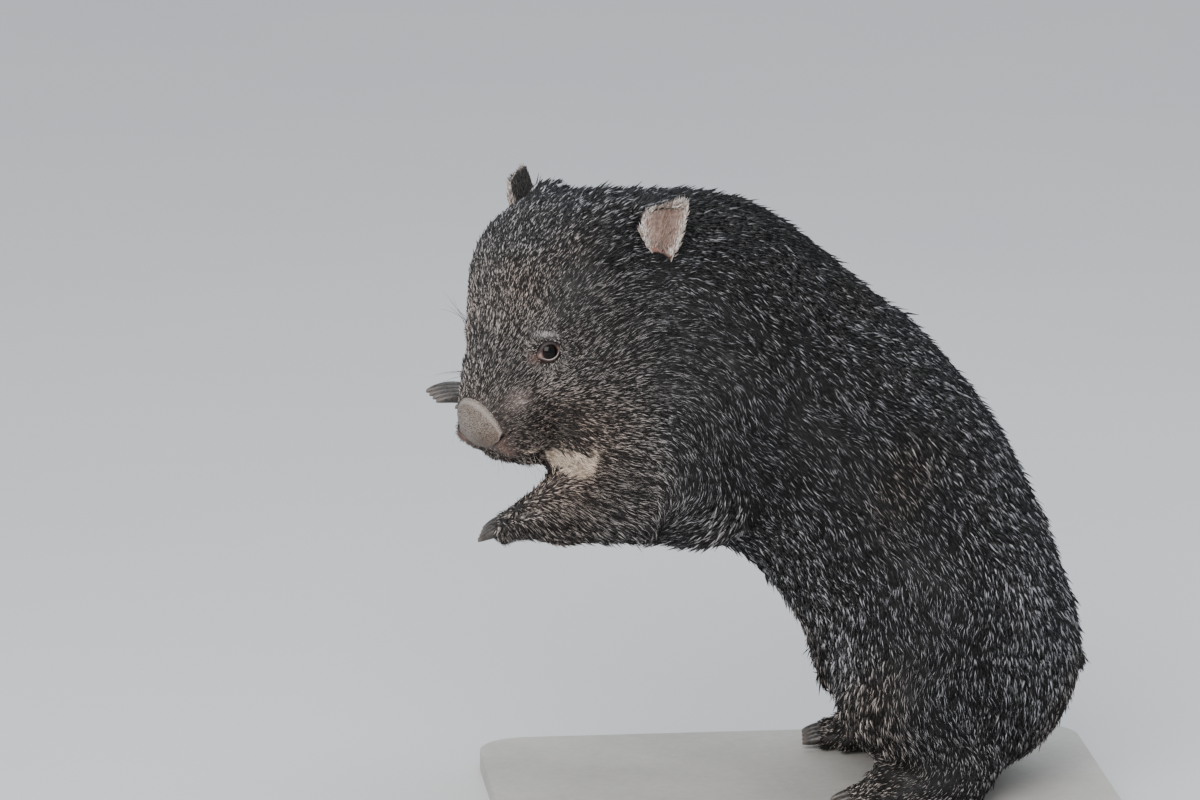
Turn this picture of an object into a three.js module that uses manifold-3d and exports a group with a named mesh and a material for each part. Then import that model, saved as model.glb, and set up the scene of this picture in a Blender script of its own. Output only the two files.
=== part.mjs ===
// A common wombat, life size, standing on its hind feet with the forefeet raised, on a flat base.
// Millimetres, +Z up, the wombat faces -Y and its left side is +X.
import * as THREE from "three";
import { mergeVertices } from "three/addons/utils/BufferGeometryUtils.js";
import Module from "manifold-3d";

const wasm = await Module();
wasm.setup();

// Driving sizes
const GAP = 0.3; // between meshes that touch
const BASE = { length: 500, width: 300, thick: 16, corner: 40, rear: 412 };
const SOLE = BASE.thick + GAP; // level of the hind soles

// Coats and bare skin
const material = (color, roughness) => new THREE.MeshStandardMaterial({ color, roughness });
const COAT = material(0x2b292b, 0.9);
const FACE = material(0x4a4546, 0.9);
const LEATHER = material(0x6e6560, 0.7);
const EAR_LOOK = material(0x8a6f66, 0.8);
const LID_LOOK = material(0x2a2424, 0.7);
const EYE_LOOK = material(0x120c0a, 0.1);
const CLAW_LOOK = material(0x1c1815, 0.5);
const PLATE = material(0xb9b4ab, 0.6);

// Vectors are plain arrays of three numbers
const add = (a, b) => [a[0] + b[0], a[1] + b[1], a[2] + b[2]];
const sub = (a, b) => [a[0] - b[0], a[1] - b[1], a[2] - b[2]];
const times = (a, k) => [a[0] * k, a[1] * k, a[2] * k];
const dot = (a, b) => a[0] * b[0] + a[1] * b[1] + a[2] * b[2];
const length = (a) => Math.hypot(a[0], a[1], a[2]);
const unit = (a) => times(a, 1 / length(a));
const cross = (a, b) => [a[1] * b[2] - a[2] * b[1], a[2] * b[0] - a[0] * b[2], a[0] * b[1] - a[1] * b[0]];
const blend = (a, b, t) => add(times(a, 1 - t), times(b, t));
const clamp = (v, low, high) => Math.min(high, Math.max(low, v));
const mirror = ([x, y, z]) => [-x, y, z];

// A frame is an origin and three axes
const outOf = (frame, p) =>
  frame.axes.reduce((sum, axis, i) => add(sum, times(axis, p[i])), frame.origin);
const into = (frame, p) => {
  const d = sub(p, frame.origin);
  return frame.axes.map((axis) => dot(axis, d));
};
const frameOf = (origin, first, second) => {
  const x = unit(first);
  const y = unit(sub(second, times(x, dot(second, x))));
  return { origin, axes: [x, y, cross(x, y)] };
};

// Fields: roughly the distance from a point to a form's surface, negative inside it
const ellipsoid = (centre, radii) => (p) => {
  const q = [0, 1, 2].map((i) => (p[i] - centre[i]) / radii[i]);
  const near = length(q);
  if (near < 1e-6) return -Math.min(...radii);
  const slope = length([q[0] / radii[0], q[1] / radii[1], q[2] / radii[2]]);
  return (near * (near - 1)) / slope;
};
// A round cone from a to b, widened across the first axis by wide
const limb = (a, b, ra, rb, wide = 1) => {
  const squeeze = (p) => [p[0] / wide, p[1], p[2]];
  const from = squeeze(a);
  const along = sub(squeeze(b), from);
  const span = dot(along, along);
  return (p) => {
    const d = sub(squeeze(p), from);
    const t = clamp(dot(d, along) / span, 0, 1);
    return length(sub(d, times(along, t))) - (ra + (rb - ra) * t);
  };
};
const seenIn = (frame, field) => (p) => field(into(frame, p));
const meet = (a, b, soft) => {
  const h = Math.max(soft - Math.abs(a - b), 0) / soft;
  return Math.min(a, b) - h * h * soft * 0.25;
};
// Forms is a list of [field, softness of its joint with the forms before it]
const fused = (forms) => (p) =>
  forms.reduce((sum, [field, soft]) => (sum === null ? field(p) : meet(sum, field(p), soft)), null);
const pair = (make, soft) => [
  [make(1), soft],
  [make(-1), soft],
];

// Torso: round sections along the back, from the chest to the rump: y, z, half depth, half width
const TRUNK = [
  [50, 378, 116, 120],
  [94, 350, 124, 127],
  [143, 325, 121, 130],
  [190, 291, 116, 132],
  [232, 240, 113, 132],
  [268, 174, 107, 127],
  [289, 122, 103, 118],
];
const TRUNK_STEPS = 18;
const trunkField = (() => {
  const line = new THREE.CatmullRomCurve3(TRUNK.map(([y, z, r]) => new THREE.Vector3(y, z, r)));
  const widths = new THREE.CatmullRomCurve3(TRUNK.map(([, , r, w]) => new THREE.Vector3(w / r, 0, 0)));
  const rings = Array.from({ length: TRUNK_STEPS + 1 }, (_, i) => {
    const at = line.getPoint(i / TRUNK_STEPS);
    return { y: at.x, z: at.y, r: at.z, wide: widths.getPoint(i / TRUNK_STEPS).x };
  });
  return fused(rings.map((s) => [ellipsoid([0, s.y, s.z], [s.r * s.wide, s.r, s.r]), 8]));
})();

// Hind legs, the same on both sides; a foot is drawn along its own ahead, up and side
const HIND = {
  hip: [62, 264, 172],
  knee: [88, 234, 106],
  ankle: [86, 266, 54],
  heel: [86, 276, SOLE + 20],
  ball: [92, 222, SOLE + 15],
  thigh: 76,
  bend: 43,
};
const TOES = 5;
const TOE_PITCH = 11.5;
const toeSide = (n) => (n - (TOES - 1) / 2) * TOE_PITCH;
const onSide = (p, side) => (side > 0 ? p : mirror(p));
const hindFrame = (side) => frameOf(onSide(HIND.ball, side), [0.12 * side, -1, 0], [0, 0, 1]);
// The innermost hind toe is a small one, set back
const hindToe = (n, side) => {
  const inner = side > 0 ? n === TOES - 1 : n === 0;
  return { root: [0, -2, toeSide(n)], tip: [inner ? 8 : 24, -6, toeSide(n) * 1.08], thick: inner ? 8 : 9.5, inner };
};
const toesOf = (toeAt, side) =>
  Array.from({ length: TOES }, (_, n) => {
    const toe = toeAt(n, side);
    return [limb(toe.root, toe.tip, toe.thick + 1.5, toe.thick), 6];
  });
const hindField = (side) => {
  const at = (name) => onSide(HIND[name], side);
  return fused([
    [limb(at("hip"), at("knee"), HIND.thigh, HIND.bend), 1],
    [limb(at("knee"), at("ankle"), 47, 36), 30],
    [limb(at("heel"), at("ball"), 25, 18, 1.4), 20],
    [seenIn(hindFrame(side), fused([[ellipsoid([-8, 0, 0], [26, 17, 31]), 1], ...toesOf(hindToe, side)])), 10],
  ]);
};

// Forelegs: the left one lies lower, the right one reaches higher
const FORE = {
  left: { side: 1, shoulder: [78, 76, 330], elbow: [96, 66, 274], wrist: [76, -34, 259], toes: [70, -66, 256] },
  right: { side: -1, shoulder: [-78, 72, 338], elbow: [-98, 40, 286], wrist: [-88, -60, 316], toes: [-84, -90, 323] },
};
const FORE_SIZE = { shoulder: 58, elbow: 38 };
const foreFrame = (leg) => frameOf(leg.toes, sub(leg.toes, leg.wrist), [0, 0, 1]);
const foreToe = (n, side) => {
  const inner = side > 0 ? n === TOES - 1 : n === 0;
  return { root: [-6, 0, toeSide(n)], tip: [inner ? 7 : 15, -3, toeSide(n) * 1.12], thick: inner ? 8 : 9, inner };
};
const foreField = (leg) =>
  fused([
    [limb(leg.shoulder, leg.elbow, FORE_SIZE.shoulder, FORE_SIZE.elbow), 1],
    [limb(leg.elbow, leg.wrist, 40, 26), 24],
    [seenIn(foreFrame(leg), fused([[ellipsoid([-14, 0, 0], [32, 18, 29]), 1], ...toesOf(foreToe, leg.side)])), 16],
  ]);

// Head frame: origin at the tip of the nose, axes towards the muzzle, the left and the crown
const HEAD_YAW = 37;
const HEAD_PITCH = 34.5;
const NOSE_TIP = [85, -110, 325];
const deg = Math.PI / 180;
const muzzle = [
  Math.sin(HEAD_YAW * deg) * Math.cos(HEAD_PITCH * deg),
  -Math.cos(HEAD_YAW * deg) * Math.cos(HEAD_PITCH * deg),
  -Math.sin(HEAD_PITCH * deg),
];
const left = [Math.cos(HEAD_YAW * deg), Math.sin(HEAD_YAW * deg), 0];
const head = { origin: NOSE_TIP, axes: [muzzle, left, cross(muzzle, left)] };
const sideOf = ([f, l, u], side) => [f, l * side, u];

const skullField = fused([
  [ellipsoid([-144, 0, 18], [74, 80, 74]), 1],
  [ellipsoid([-80, 0, 20], [60, 41, 38]), 22],
  [ellipsoid([-38, 0, -4], [34, 36, 31]), 20],
  ...pair((side) => ellipsoid(sideOf([-121, 44, -18], side), [47, 42, 44]), 22),
  ...pair((side) => ellipsoid(sideOf([-152, 42, 54], side), [44, 34, 35]), 24),
  ...pair((side) => ellipsoid(sideOf([-31, 21, -15], side), [24, 18, 19]), 14),
  ...pair((side) => ellipsoid(sideOf([-92, 36, 46], side), [22, 13, 8]), 12),
  ...pair((side) => ellipsoid(sideOf([-198, 64, 56], side), [16, 15, 16]), 14),
  [limb([-122, 0, -46], [-44, 0, -39], 36, 20, 1.2), 20],
  ...pair((side) => limb(sideOf([-16, 7, -28], side), sideOf([-58, 27, -27], side), 7, 6), 7),
]);
const headField = seenIn(head, skullField);
const neckField = limb(outOf(head, [-150, 0, 12]), [0, 68, 384], 84, 114);

const upperField = fused([
  [trunkField, 1],
  [neckField, 50],
  [headField, 30],
]);
const bodyField = fused([
  [upperField, 1],
  [ellipsoid([12, 22, 298], [84, 60, 64]), 40],
  ...pair((side) => limb(onSide(HIND.hip, side), onSide(HIND.knee, side), HIND.thigh, HIND.bend), 40),
  ...Object.values(FORE).map((leg) => [limb(leg.shoulder, leg.elbow, FORE_SIZE.shoulder, FORE_SIZE.elbow), 34]),
]);

// Surface nets: a closed mesh of the field inside a box, evened out and drawn onto the surface
function netOf(field, low, high, step) {
  const count = [0, 1, 2].map((i) => Math.ceil((high[i] - low[i]) / step) + 1);
  const at = (i, j, k) => (k * count[1] + j) * count[0] + i;
  const point = (i, j, k) => [low[0] + i * step, low[1] + j * step, low[2] + k * step];
  const boxed = (p) =>
    Math.max(
      field(p),
      ...[0, 1, 2].map((i) => low[i] + 1.5 * step - p[i]),
      ...[0, 1, 2].map((i) => p[i] - low[i] - (count[i] - 2.5) * step),
    );
  const values = new Float64Array(count[0] * count[1] * count[2]);
  for (let k = 0; k < count[2]; k++)
    for (let j = 0; j < count[1]; j++)
      for (let i = 0; i < count[0]; i++) values[at(i, j, k)] = boxed(point(i, j, k));

  const corners = [0, 1, 2, 3, 4, 5, 6, 7].map((c) => [c & 1, (c >> 1) & 1, c >> 2]);
  const apart = (a, b) => Math.abs(a[0] - b[0]) + Math.abs(a[1] - b[1]) + Math.abs(a[2] - b[2]);
  const edges = corners.flatMap((a, m) =>
    corners.flatMap((b, n) => (n > m && apart(a, b) === 1 ? [[m, n]] : [])),
  );
  const cells = new Int32Array(values.length).fill(-1);
  const places = [];
  for (let k = 0; k < count[2] - 1; k++)
    for (let j = 0; j < count[1] - 1; j++)
      for (let i = 0; i < count[0] - 1; i++) {
        const v = corners.map(([a, b, c]) => values[at(i + a, j + b, k + c)]);
        let crossings = 0;
        let sum = [0, 0, 0];
        for (const [m, n] of edges) {
          if (v[m] < 0 === v[n] < 0) continue;
          sum = add(sum, blend(corners[m], corners[n], v[m] / (v[m] - v[n])));
          crossings++;
        }
        if (!crossings) continue;
        cells[at(i, j, k)] = places.length;
        places.push(add(point(i, j, k), times(sum, step / crossings)));
      }

  const quads = [];
  const neighbours = places.map(() => new Set());
  const quad = (a, b, c, d, flip) => {
    const ring = flip ? [a, d, c, b] : [a, b, c, d];
    ring.forEach((v, n) => {
      neighbours[v].add(ring[(n + 1) % 4]);
      neighbours[v].add(ring[(n + 3) % 4]);
    });
    quads.push(ring);
  };
  for (let k = 1; k < count[2] - 1; k++)
    for (let j = 1; j < count[1] - 1; j++)
      for (let i = 1; i < count[0] - 1; i++) {
        const here = values[at(i, j, k)] < 0;
        const cell = (a, b, c) => cells[at(i - a, j - b, k - c)];
        if (here !== values[at(i + 1, j, k)] < 0)
          quad(cell(0, 1, 1), cell(0, 0, 1), cell(0, 0, 0), cell(0, 1, 0), !here);
        if (here !== values[at(i, j + 1, k)] < 0)
          quad(cell(1, 0, 1), cell(1, 0, 0), cell(0, 0, 0), cell(0, 0, 1), !here);
        if (here !== values[at(i, j, k + 1)] < 0)
          quad(cell(1, 1, 0), cell(0, 1, 0), cell(0, 0, 0), cell(1, 0, 0), !here);
      }

  const reach = step / 20;
  const slopeAt = (p) =>
    [0, 1, 2].map((i) => {
      const ahead = [...p];
      const behind = [...p];
      ahead[i] += reach;
      behind[i] -= reach;
      return (boxed(ahead) - boxed(behind)) / (2 * reach);
    });
  const onto = (p) => {
    const slope = slopeAt(p);
    const move = clamp(boxed(p) / Math.max(dot(slope, slope), 0.3), -step / 3, step / 3);
    return sub(p, times(slope, move));
  };
  let even = places;
  for (let round = 0; round < 3; round++) {
    even = even.map((p, n) => {
      const near = [...neighbours[n]];
      const middle = times(near.reduce((sum, m) => add(sum, even[m]), [0, 0, 0]), 1 / near.length);
      return onto(blend(p, middle, 0.5));
    });
  }
  even = even.map(onto);
  const off = (a, b) => Math.abs(boxed(blend(even[a], even[b], 0.5)));
  const faces = quads.flatMap(([a, b, c, d]) =>
    off(a, c) < off(b, d) ? [a, b, c, a, c, d] : [b, c, d, b, d, a],
  );
  const geometry = new THREE.BufferGeometry();
  geometry.setAttribute("position", new THREE.BufferAttribute(new Float32Array(even.flat()), 3));
  geometry.setIndex(faces);
  return geometry;
}

// Each point of a closed geometry moved out along its normal
function grown(geometry, by) {
  const out = geometry.clone();
  out.computeVertexNormals();
  const place = out.attributes.position;
  const normal = out.attributes.normal;
  for (let i = 0; i < place.count; i++)
    place.setXYZ(
      i,
      place.getX(i) + normal.getX(i) * by,
      place.getY(i) + normal.getY(i) * by,
      place.getZ(i) + normal.getZ(i) * by,
    );
  out.deleteAttribute("normal");
  return out;
}

// A closed geometry as a manifold-3d solid
function solidOf(geometry) {
  const bare = new THREE.BufferGeometry();
  bare.setAttribute("position", geometry.getAttribute("position"));
  if (geometry.index) bare.setIndex(geometry.index);
  const merged = mergeVertices(bare, 1e-3);
  return new wasm.Manifold(
    new wasm.Mesh({
      numProp: 3,
      vertProperties: merged.attributes.position.array,
      triVerts: new Uint32Array(merged.index.array),
    }),
  );
}
const biggest = (solid) => solid.decompose().sort((a, b) => b.volume() - a.volume())[0];

// A big block on the far side of a plane through point, facing along normal, moved on by shift
function beyond(point, normal, shift = 0, size = 900) {
  const frame = frameOf(add(point, times(unit(normal), shift + size / 2)), normal, [0.31, 0.52, 0.79]);
  const axes = frame.axes.map((axis) => new THREE.Vector3(...axis));
  const block = new THREE.BoxGeometry(size, size, size);
  block.applyMatrix4(new THREE.Matrix4().makeBasis(...axes).setPosition(...frame.origin));
  return solidOf(block);
}

// A closed loft through rings of points, fanned shut at both ends
function loft(rings) {
  const around = rings[0].length;
  const middle = (ring) => times(ring.reduce(add, [0, 0, 0]), 1 / around);
  const points = [...rings.flat(), middle(rings[0]), middle(rings.at(-1))];
  const faces = [];
  rings.forEach((ring, i) =>
    ring.forEach((_, j) => {
      const next = (j + 1) % around;
      if (i + 1 < rings.length) {
        const [a, b, c, d] = [i * around + j, i * around + next, (i + 1) * around + next, (i + 1) * around + j];
        faces.push(a, b, c, a, c, d);
      }
    }),
  );
  const last = (rings.length - 1) * around;
  for (let j = 0; j < around; j++) {
    const next = (j + 1) % around;
    faces.push(rings.length * around, next, j);
    faces.push(rings.length * around + 1, last + j, last + next);
  }
  const geometry = new THREE.BufferGeometry();
  geometry.setAttribute("position", new THREE.BufferAttribute(new Float32Array(points.flat()), 3));
  geometry.setIndex(faces);
  return geometry;
}

const animal = new THREE.Group();
function place(name, solid, look) {
  const mesh = biggest(solid).getMesh();
  const geometry = new THREE.BufferGeometry();
  geometry.setAttribute("position", new THREE.BufferAttribute(new Float32Array(mesh.vertProperties), 3));
  geometry.setIndex(new THREE.BufferAttribute(new Uint32Array(mesh.triVerts), 1));
  const node = new THREE.Mesh(geometry, look);
  node.name = name;
  animal.add(node);
}

// Head details, all in the head frame
const EYE = { centre: [-76.5, 39.2, 33.5], radius: 10.5, look: [0.42, 0.79, 0.45] };
const SOCKET = { ahead: 30, radius: 23.5 }; // a wide shallow hollow round each eye
const LID = { thick: 2.2, half: 8.6, high: 5.4 };
const NOSE = { centre: [-19, 0, 4], radii: [17, 22, 23] };
// A short leaf with a nearly straight rear edge; the right ear stands higher than the left one
const EAR = {
  front: 29.7,
  rear: 3.6,
  wall: 3,
  lowest: -0.15,
  narrowest: 0.08,
  left: { root: [-173.4, 98.7, 47.4], tip: [-213, 104.4, 74.9], look: [0.51, 0.6, 0.62], hood: 7, belly: 1.27 },
  right: { root: [-186.6, 65.3, 46.7], tip: [-216.3, 84.6, 78.6], look: [0.43, 0.88, -0.14], hood: 11, belly: 0.8 },
};
const HEAD_EGG = { centre: [-101, 0, 10], radii: [130, 126, 124] };
const MOUTH = { front: -29, corner: [-62, -26], back: [-136, -64] };

const headTurn = new THREE.Matrix4()
  .makeBasis(...head.axes.map((axis) => new THREE.Vector3(...axis)))
  .setPosition(...head.origin);
const ball = (centre, radius, across = 10) => {
  const shape = new THREE.SphereGeometry(radius, across, across / 2 + 2);
  shape.translate(...centre);
  return shape.applyMatrix4(headTurn);
};

// The opening between the lids: an almond that widens outwards
const ALMOND_POINTS = 14;
function almond(side) {
  const look = sideOf(EYE.look, side);
  const corner = [1, side * 0.28, -0.3];
  const frame = frameOf(sideOf(EYE.centre, side), look, corner);
  const rings = [3, 30].map((far) =>
    Array.from({ length: ALMOND_POINTS }, (_, i) => {
      const a = (i / ALMOND_POINTS) * 2 * Math.PI;
      const open = far / EYE.radius;
      const x = Math.cos(a) * LID.half * (0.4 + 0.6 * open);
      const y = Math.sin(a) * LID.high * (0.75 + 0.25 * Math.abs(Math.sin(a))) * (0.4 + 0.6 * open);
      return outOf(head, outOf(frame, [far, x, y]));
    }),
  );
  return loft(rings);
}

// An ear: a solid root that opens into a cupped leaf, lofted as crescents from root to tip
const EAR_RINGS = 8;
const EAR_AROUND = 14;
function ear(side, by = 0) {
  const own = side > 0 ? EAR.left : EAR.right;
  const along = sub(own.tip, own.root);
  const frame = frameOf(sideOf(own.root, side), sideOf(along, side), sideOf(own.look, side));
  const tall = length(along);
  const rings = Array.from({ length: EAR_RINGS + 1 }, (_, i) => {
    const t = EAR.lowest + ((1 - EAR.lowest) * i) / EAR_RINGS;
    const up = clamp(t, EAR.narrowest, 0.98);
    const front = EAR.front * Math.sin(Math.PI * up ** own.belly) ** 0.48;
    const rear = EAR.rear * Math.sin(Math.PI * up ** 0.8) ** 0.5;
    const wide = (front + rear) / 2 + 1 + by;
    const deep = own.hood * (1 - 0.55 * t);
    const open = by > 0 ? 0 : clamp((t - 0.12) / 0.2, 0, 1);
    const wall = EAR.wall * (1 - 0.35 * t);
    return Array.from({ length: EAR_AROUND }, (_, j) => {
      const a = (j / EAR_AROUND) * 2 * Math.PI;
      const back = -deep * Math.abs(Math.cos(a));
      const inside = Math.cos(a) > -1e-6;
      const cupped = back + wall * (0.4 + 0.6 * Math.cos(a));
      const y = inside ? (1 - open) * deep * 0.5 * Math.cos(a) + open * cupped + by : back - by;
      const out = (2 * t - 1) * by;
      const across = (side * (rear - front)) / 2 + wide * Math.sin(a);
      return outOf(head, outOf(frame, [t * tall + out, y + 3, across]));
    });
  });
  return loft(rings);
}

// A claw: a blunt curved cone from its root, bent down by droop
const CLAW_RINGS = 3;
const CLAW_AROUND = 5;
function claw(frame, root, long, thick, droop) {
  const rings = Array.from({ length: CLAW_RINGS + 1 }, (_, i) => {
    const t = i / CLAW_RINGS;
    const wide = thick * Math.sqrt(1 - 0.9 * t * t);
    return Array.from({ length: CLAW_AROUND }, (_, j) => {
      const a = (j / CLAW_AROUND) * 2 * Math.PI;
      const up = Math.cos(a) * wide * 1.2 - droop * t * t;
      return outOf(frame, add(root, [long * t, up, Math.sin(a) * wide]));
    });
  });
  return loft(rings);
}

// The mouth: everything below its line, from the lips back to the throat
function jawBlock(lift) {
  const [cornerF, cornerU] = MOUTH.corner;
  const [backF, backU] = MOUTH.back;
  const shape = new THREE.Shape();
  shape.moveTo(30, MOUTH.front + lift);
  shape.lineTo(-14, MOUTH.front + lift);
  shape.quadraticCurveTo(-40, MOUTH.front - 4 + lift, cornerF, cornerU + lift);
  shape.lineTo(backF, backU + lift);
  shape.lineTo(backF - lift, -200);
  shape.lineTo(30, -200);
  shape.closePath();
  const block = new THREE.ExtrudeGeometry(shape, { depth: 320, bevelEnabled: false, curveSegments: 8 });
  block.translate(0, 0, -160);
  const [f, l, u] = head.axes.map((axis) => new THREE.Vector3(...axis));
  block.applyMatrix4(new THREE.Matrix4().makeBasis(f, u, l.clone().negate()).setPosition(...head.origin));
  return solidOf(block);
}

// Flesh: the body with the upper limbs as one coarse net, the head and the feet as finer ones
const bodyNet = netOf(bodyField, [-170, -70, 0], [170, 430, 560], 25.4);
const bodyClear = solidOf(grown(bodyNet, GAP * 1.3));
const body = { solid: solidOf(bodyNet) };

const NOSE_BOX = [
  [30, -150, 280],
  [140, -50, 380],
];
const noseField = seenIn(
  head,
  fused([
    [ellipsoid(NOSE.centre, NOSE.radii), 1],
    ...pair((side) => ellipsoid(sideOf([-18, 17, -2], side), [13, 10, 11]), 8),
  ]),
);
const noseSolid = netOf(noseField, ...NOSE_BOX, 7.2);
const nostrilField = (side) =>
  seenIn(
    head,
    fused([
      [limb(sideOf([2, 17, -3], side), sideOf([-12, 15, 0], side), 5, 3.5), 1],
      [limb(sideOf([0, 20, -2], side), sideOf([-14, 31, 7], side), 3.4, 1.4), 3],
    ]),
  );
const nostril = (side) => netOf(nostrilField(side), ...NOSE_BOX, 3.9);

function headEgg(by = 0) {
  const shape = new THREE.SphereGeometry(1, 16, 10);
  shape.scale(...HEAD_EGG.radii.map((r) => r + by));
  shape.translate(...HEAD_EGG.centre);
  return solidOf(shape.applyMatrix4(headTurn));
}
const HEAD_BOX = [
  [-140, -160, 230],
  [170, 110, 520],
];
let skull = solidOf(netOf(upperField, ...HEAD_BOX, 12.7)).intersect(headEgg());
const jawCut = jawBlock(GAP);
let jaw = skull.intersect(jawBlock(0));
skull = skull.subtract(jawCut);

for (const side of [1, -1]) {
  const name = side > 0 ? "left" : "right";
  const socket = solidOf(ball(sideOf(EYE.centre, side), EYE.radius + LID.thick + GAP + 0.2, 12));
  const hollow = ball(sideOf(add(EYE.centre, times(EYE.look, SOCKET.ahead)), side), SOCKET.radius, 18);
  skull = skull.subtract(solidOf(hollow)).subtract(socket);
  const cup = solidOf(ball(sideOf(EYE.centre, side), EYE.radius + LID.thick, 12));
  const inside = solidOf(ball(sideOf(EYE.centre, side), EYE.radius + GAP + 0.5, 10));
  place("eyelids_" + name, cup.subtract(inside).subtract(solidOf(almond(side))), LID_LOOK);
  place("eye_" + name, solidOf(ball(sideOf(EYE.centre, side), EYE.radius)), EYE_LOOK);
  const leaf = ear(side);
  const pocket = solidOf(ear(side, GAP * 2));
  skull = skull.subtract(pocket);
  body.solid = body.solid.subtract(pocket);
  place("ear_" + name, solidOf(leaf), EAR_LOOK);
}
const nosePocket = solidOf(grown(netOf(noseField, ...NOSE_BOX, 9), 2.5));
place("head", skull.subtract(nosePocket), FACE);
place("jaw", jaw.subtract(nosePocket), FACE);
place("nose_pad", [1, -1].reduce((nose, side) => nose.subtract(solidOf(nostril(side))), solidOf(noseSolid)), LEATHER);

body.solid = body.solid.subtract(headEgg(GAP));

// A limb's foot ends at the plane through its joint; claws sit in the toes
function toeClaws(prefix, frame, toeAt, side, size) {
  const claws = [];
  for (let n = 0; n < TOES; n++) {
    const toe = toeAt(n, side);
    if (toe.inner && prefix.startsWith("claw_hind")) continue;
    const long = toe.inner ? size.long * 0.8 : size.long;
    claws.push({
      name: prefix + "_" + (n + 1),
      shape: claw(frame, add(toe.tip, [-4, size.lift, 0]), long, size.thick, size.droop),
    });
  }
  return claws;
}
function footOf(name, solid, claws, floor) {
  let foot = solid;
  for (const { name: clawName, shape } of claws) {
    foot = foot.subtract(solidOf(grown(shape, GAP * 1.3)));
    place(clawName, floor ? solidOf(shape).subtract(floor) : solidOf(shape), CLAW_LOOK);
  }
  place(name, foot, COAT);
}

// An upper limb is what an egg round it takes from the body; the rest of the limb meets the body's skin
const egg = ({ centre, radii }, side, by = 0) => {
  const shape = new THREE.SphereGeometry(1, 14, 10);
  shape.scale(...radii.map((r) => r + by));
  shape.translate(...onSide(centre, side));
  return solidOf(shape);
};
const SHOULDER_EGG = { centre: [118, 68, 308], radii: [66, 76, 94] };
const THIGH_EGG = { centre: [122, 240, 144], radii: [84, 106, 114] };
function upperLimb(name, at, side) {
  place(name, body.solid.intersect(egg(at, side)), COAT);
  body.solid = body.solid.subtract(egg(at, side, GAP));
}
const floor = beyond([0, 0, SOLE], [0, 0, -1]);
const headClear = solidOf(grown(netOf(headField, ...HEAD_BOX, 14), 3));

for (const leg of Object.values(FORE)) {
  const name = leg.side > 0 ? "left" : "right";
  const inner = leg.side * 40;
  const outer = leg.side * 160;
  const low = [Math.min(inner, outer), -80, 200];
  const high = [Math.max(inner, outer), 130, 400];
  const ahead = sub(leg.toes, leg.wrist);
  const down = sub(leg.wrist, leg.elbow);
  const forearm = solidOf(netOf(foreField(leg), low, high, 14.5))
    .intersect(beyond(leg.elbow, down))
    .subtract(bodyClear)
    .subtract(headClear)
    .subtract(beyond(leg.wrist, ahead));
  place("forearm_" + name, forearm, COAT);
  upperLimb("upper_arm_" + name, SHOULDER_EGG, leg.side);
  const reach = 52;
  const pawNet = netOf(foreField(leg), leg.toes.map((v) => v - reach), leg.toes.map((v) => v + reach), 9.3);
  const paw = solidOf(pawNet).intersect(beyond(leg.wrist, ahead, GAP, 200)).subtract(headClear);
  const size = { long: 26, thick: 4.6, droop: 7, lift: 1 };
  footOf("forepaw_" + name, paw, toeClaws("claw_fore_" + name, foreFrame(leg), foreToe, leg.side, size));
}

for (const side of [1, -1]) {
  const name = side > 0 ? "left" : "right";
  const field = hindField(side);
  const ankle = onSide(HIND.ankle, side);
  const shank = solidOf(netOf(field, [ankle[0] - 80, 130, 10], [ankle[0] + 80, 340, 150], 14))
    .intersect(beyond(onSide(HIND.knee, side), [0, 0, -1]))
    .subtract(bodyClear)
    .subtract(beyond(ankle, [0, 0, -1]));
  place("shank_" + name, shank, COAT);
  const footNet = netOf(field, [ankle[0] - 64, 160, -12], [ankle[0] + 64, 330, 80], 11);
  const foot = solidOf(footNet).intersect(beyond(ankle, [0, 0, -1], GAP)).subtract(bodyClear).subtract(floor);
  upperLimb("thigh_" + name, THIGH_EGG, side);
  const size = { long: 24, thick: 4.4, droop: 4, lift: 1 };
  const claws = toeClaws("claw_hind_" + name, hindFrame(side), hindToe, side, size);
  footOf("hind_foot_" + name, foot, claws, floor);
}

const TAIL = { root: [0, 370, 128], tip: [0, 390, 112] };
const tail = netOf(limb(TAIL.root, TAIL.tip, 15, 9), [-30, 340, 80], [30, 420, 160], 9);
place("tail", solidOf(tail), COAT);
body.solid = body.solid.subtract(solidOf(grown(tail, GAP * 1.3))).subtract(floor);

// The trunk in lengths: cut planes down the back, each facing towards the tail
const LENGTHS = [
  { name: "neck", end: { point: [0, 92, 400], normal: [-0.2, 1, -0.25] } },
  { name: "chest", end: { point: [0, 150, 320], normal: [0, 0.62, -0.78] } },
  { name: "belly", end: { point: [0, 232, 238], normal: [0, 0.5, -0.86] } },
];
for (const { name, end } of LENGTHS) {
  place(name, body.solid.subtract(beyond(end.point, end.normal)), COAT);
  body.solid = body.solid.intersect(beyond(end.point, end.normal, GAP));
}
place("rump", body.solid, COAT);

// The flat base under the hind feet
const plate = new THREE.Shape();
const [halfX, halfY, round] = [BASE.width / 2, BASE.length / 2, BASE.corner];
plate.moveTo(-halfX + round, -halfY);
plate.lineTo(halfX - round, -halfY);
plate.absarc(halfX - round, -halfY + round, round, -Math.PI / 2, 0);
plate.lineTo(halfX, halfY - round);
plate.absarc(halfX - round, halfY - round, round, 0, Math.PI / 2);
plate.lineTo(-halfX + round, halfY);
plate.absarc(-halfX + round, halfY - round, round, Math.PI / 2, Math.PI);
plate.lineTo(-halfX, -halfY + round);
plate.absarc(-halfX + round, -halfY + round, round, Math.PI, 1.5 * Math.PI);
const slab = new THREE.ExtrudeGeometry(plate, { depth: BASE.thick, bevelEnabled: false, curveSegments: 5 });
slab.translate(0, BASE.rear - halfY, 0);
place("stand_base", solidOf(slab), PLATE);

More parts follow.
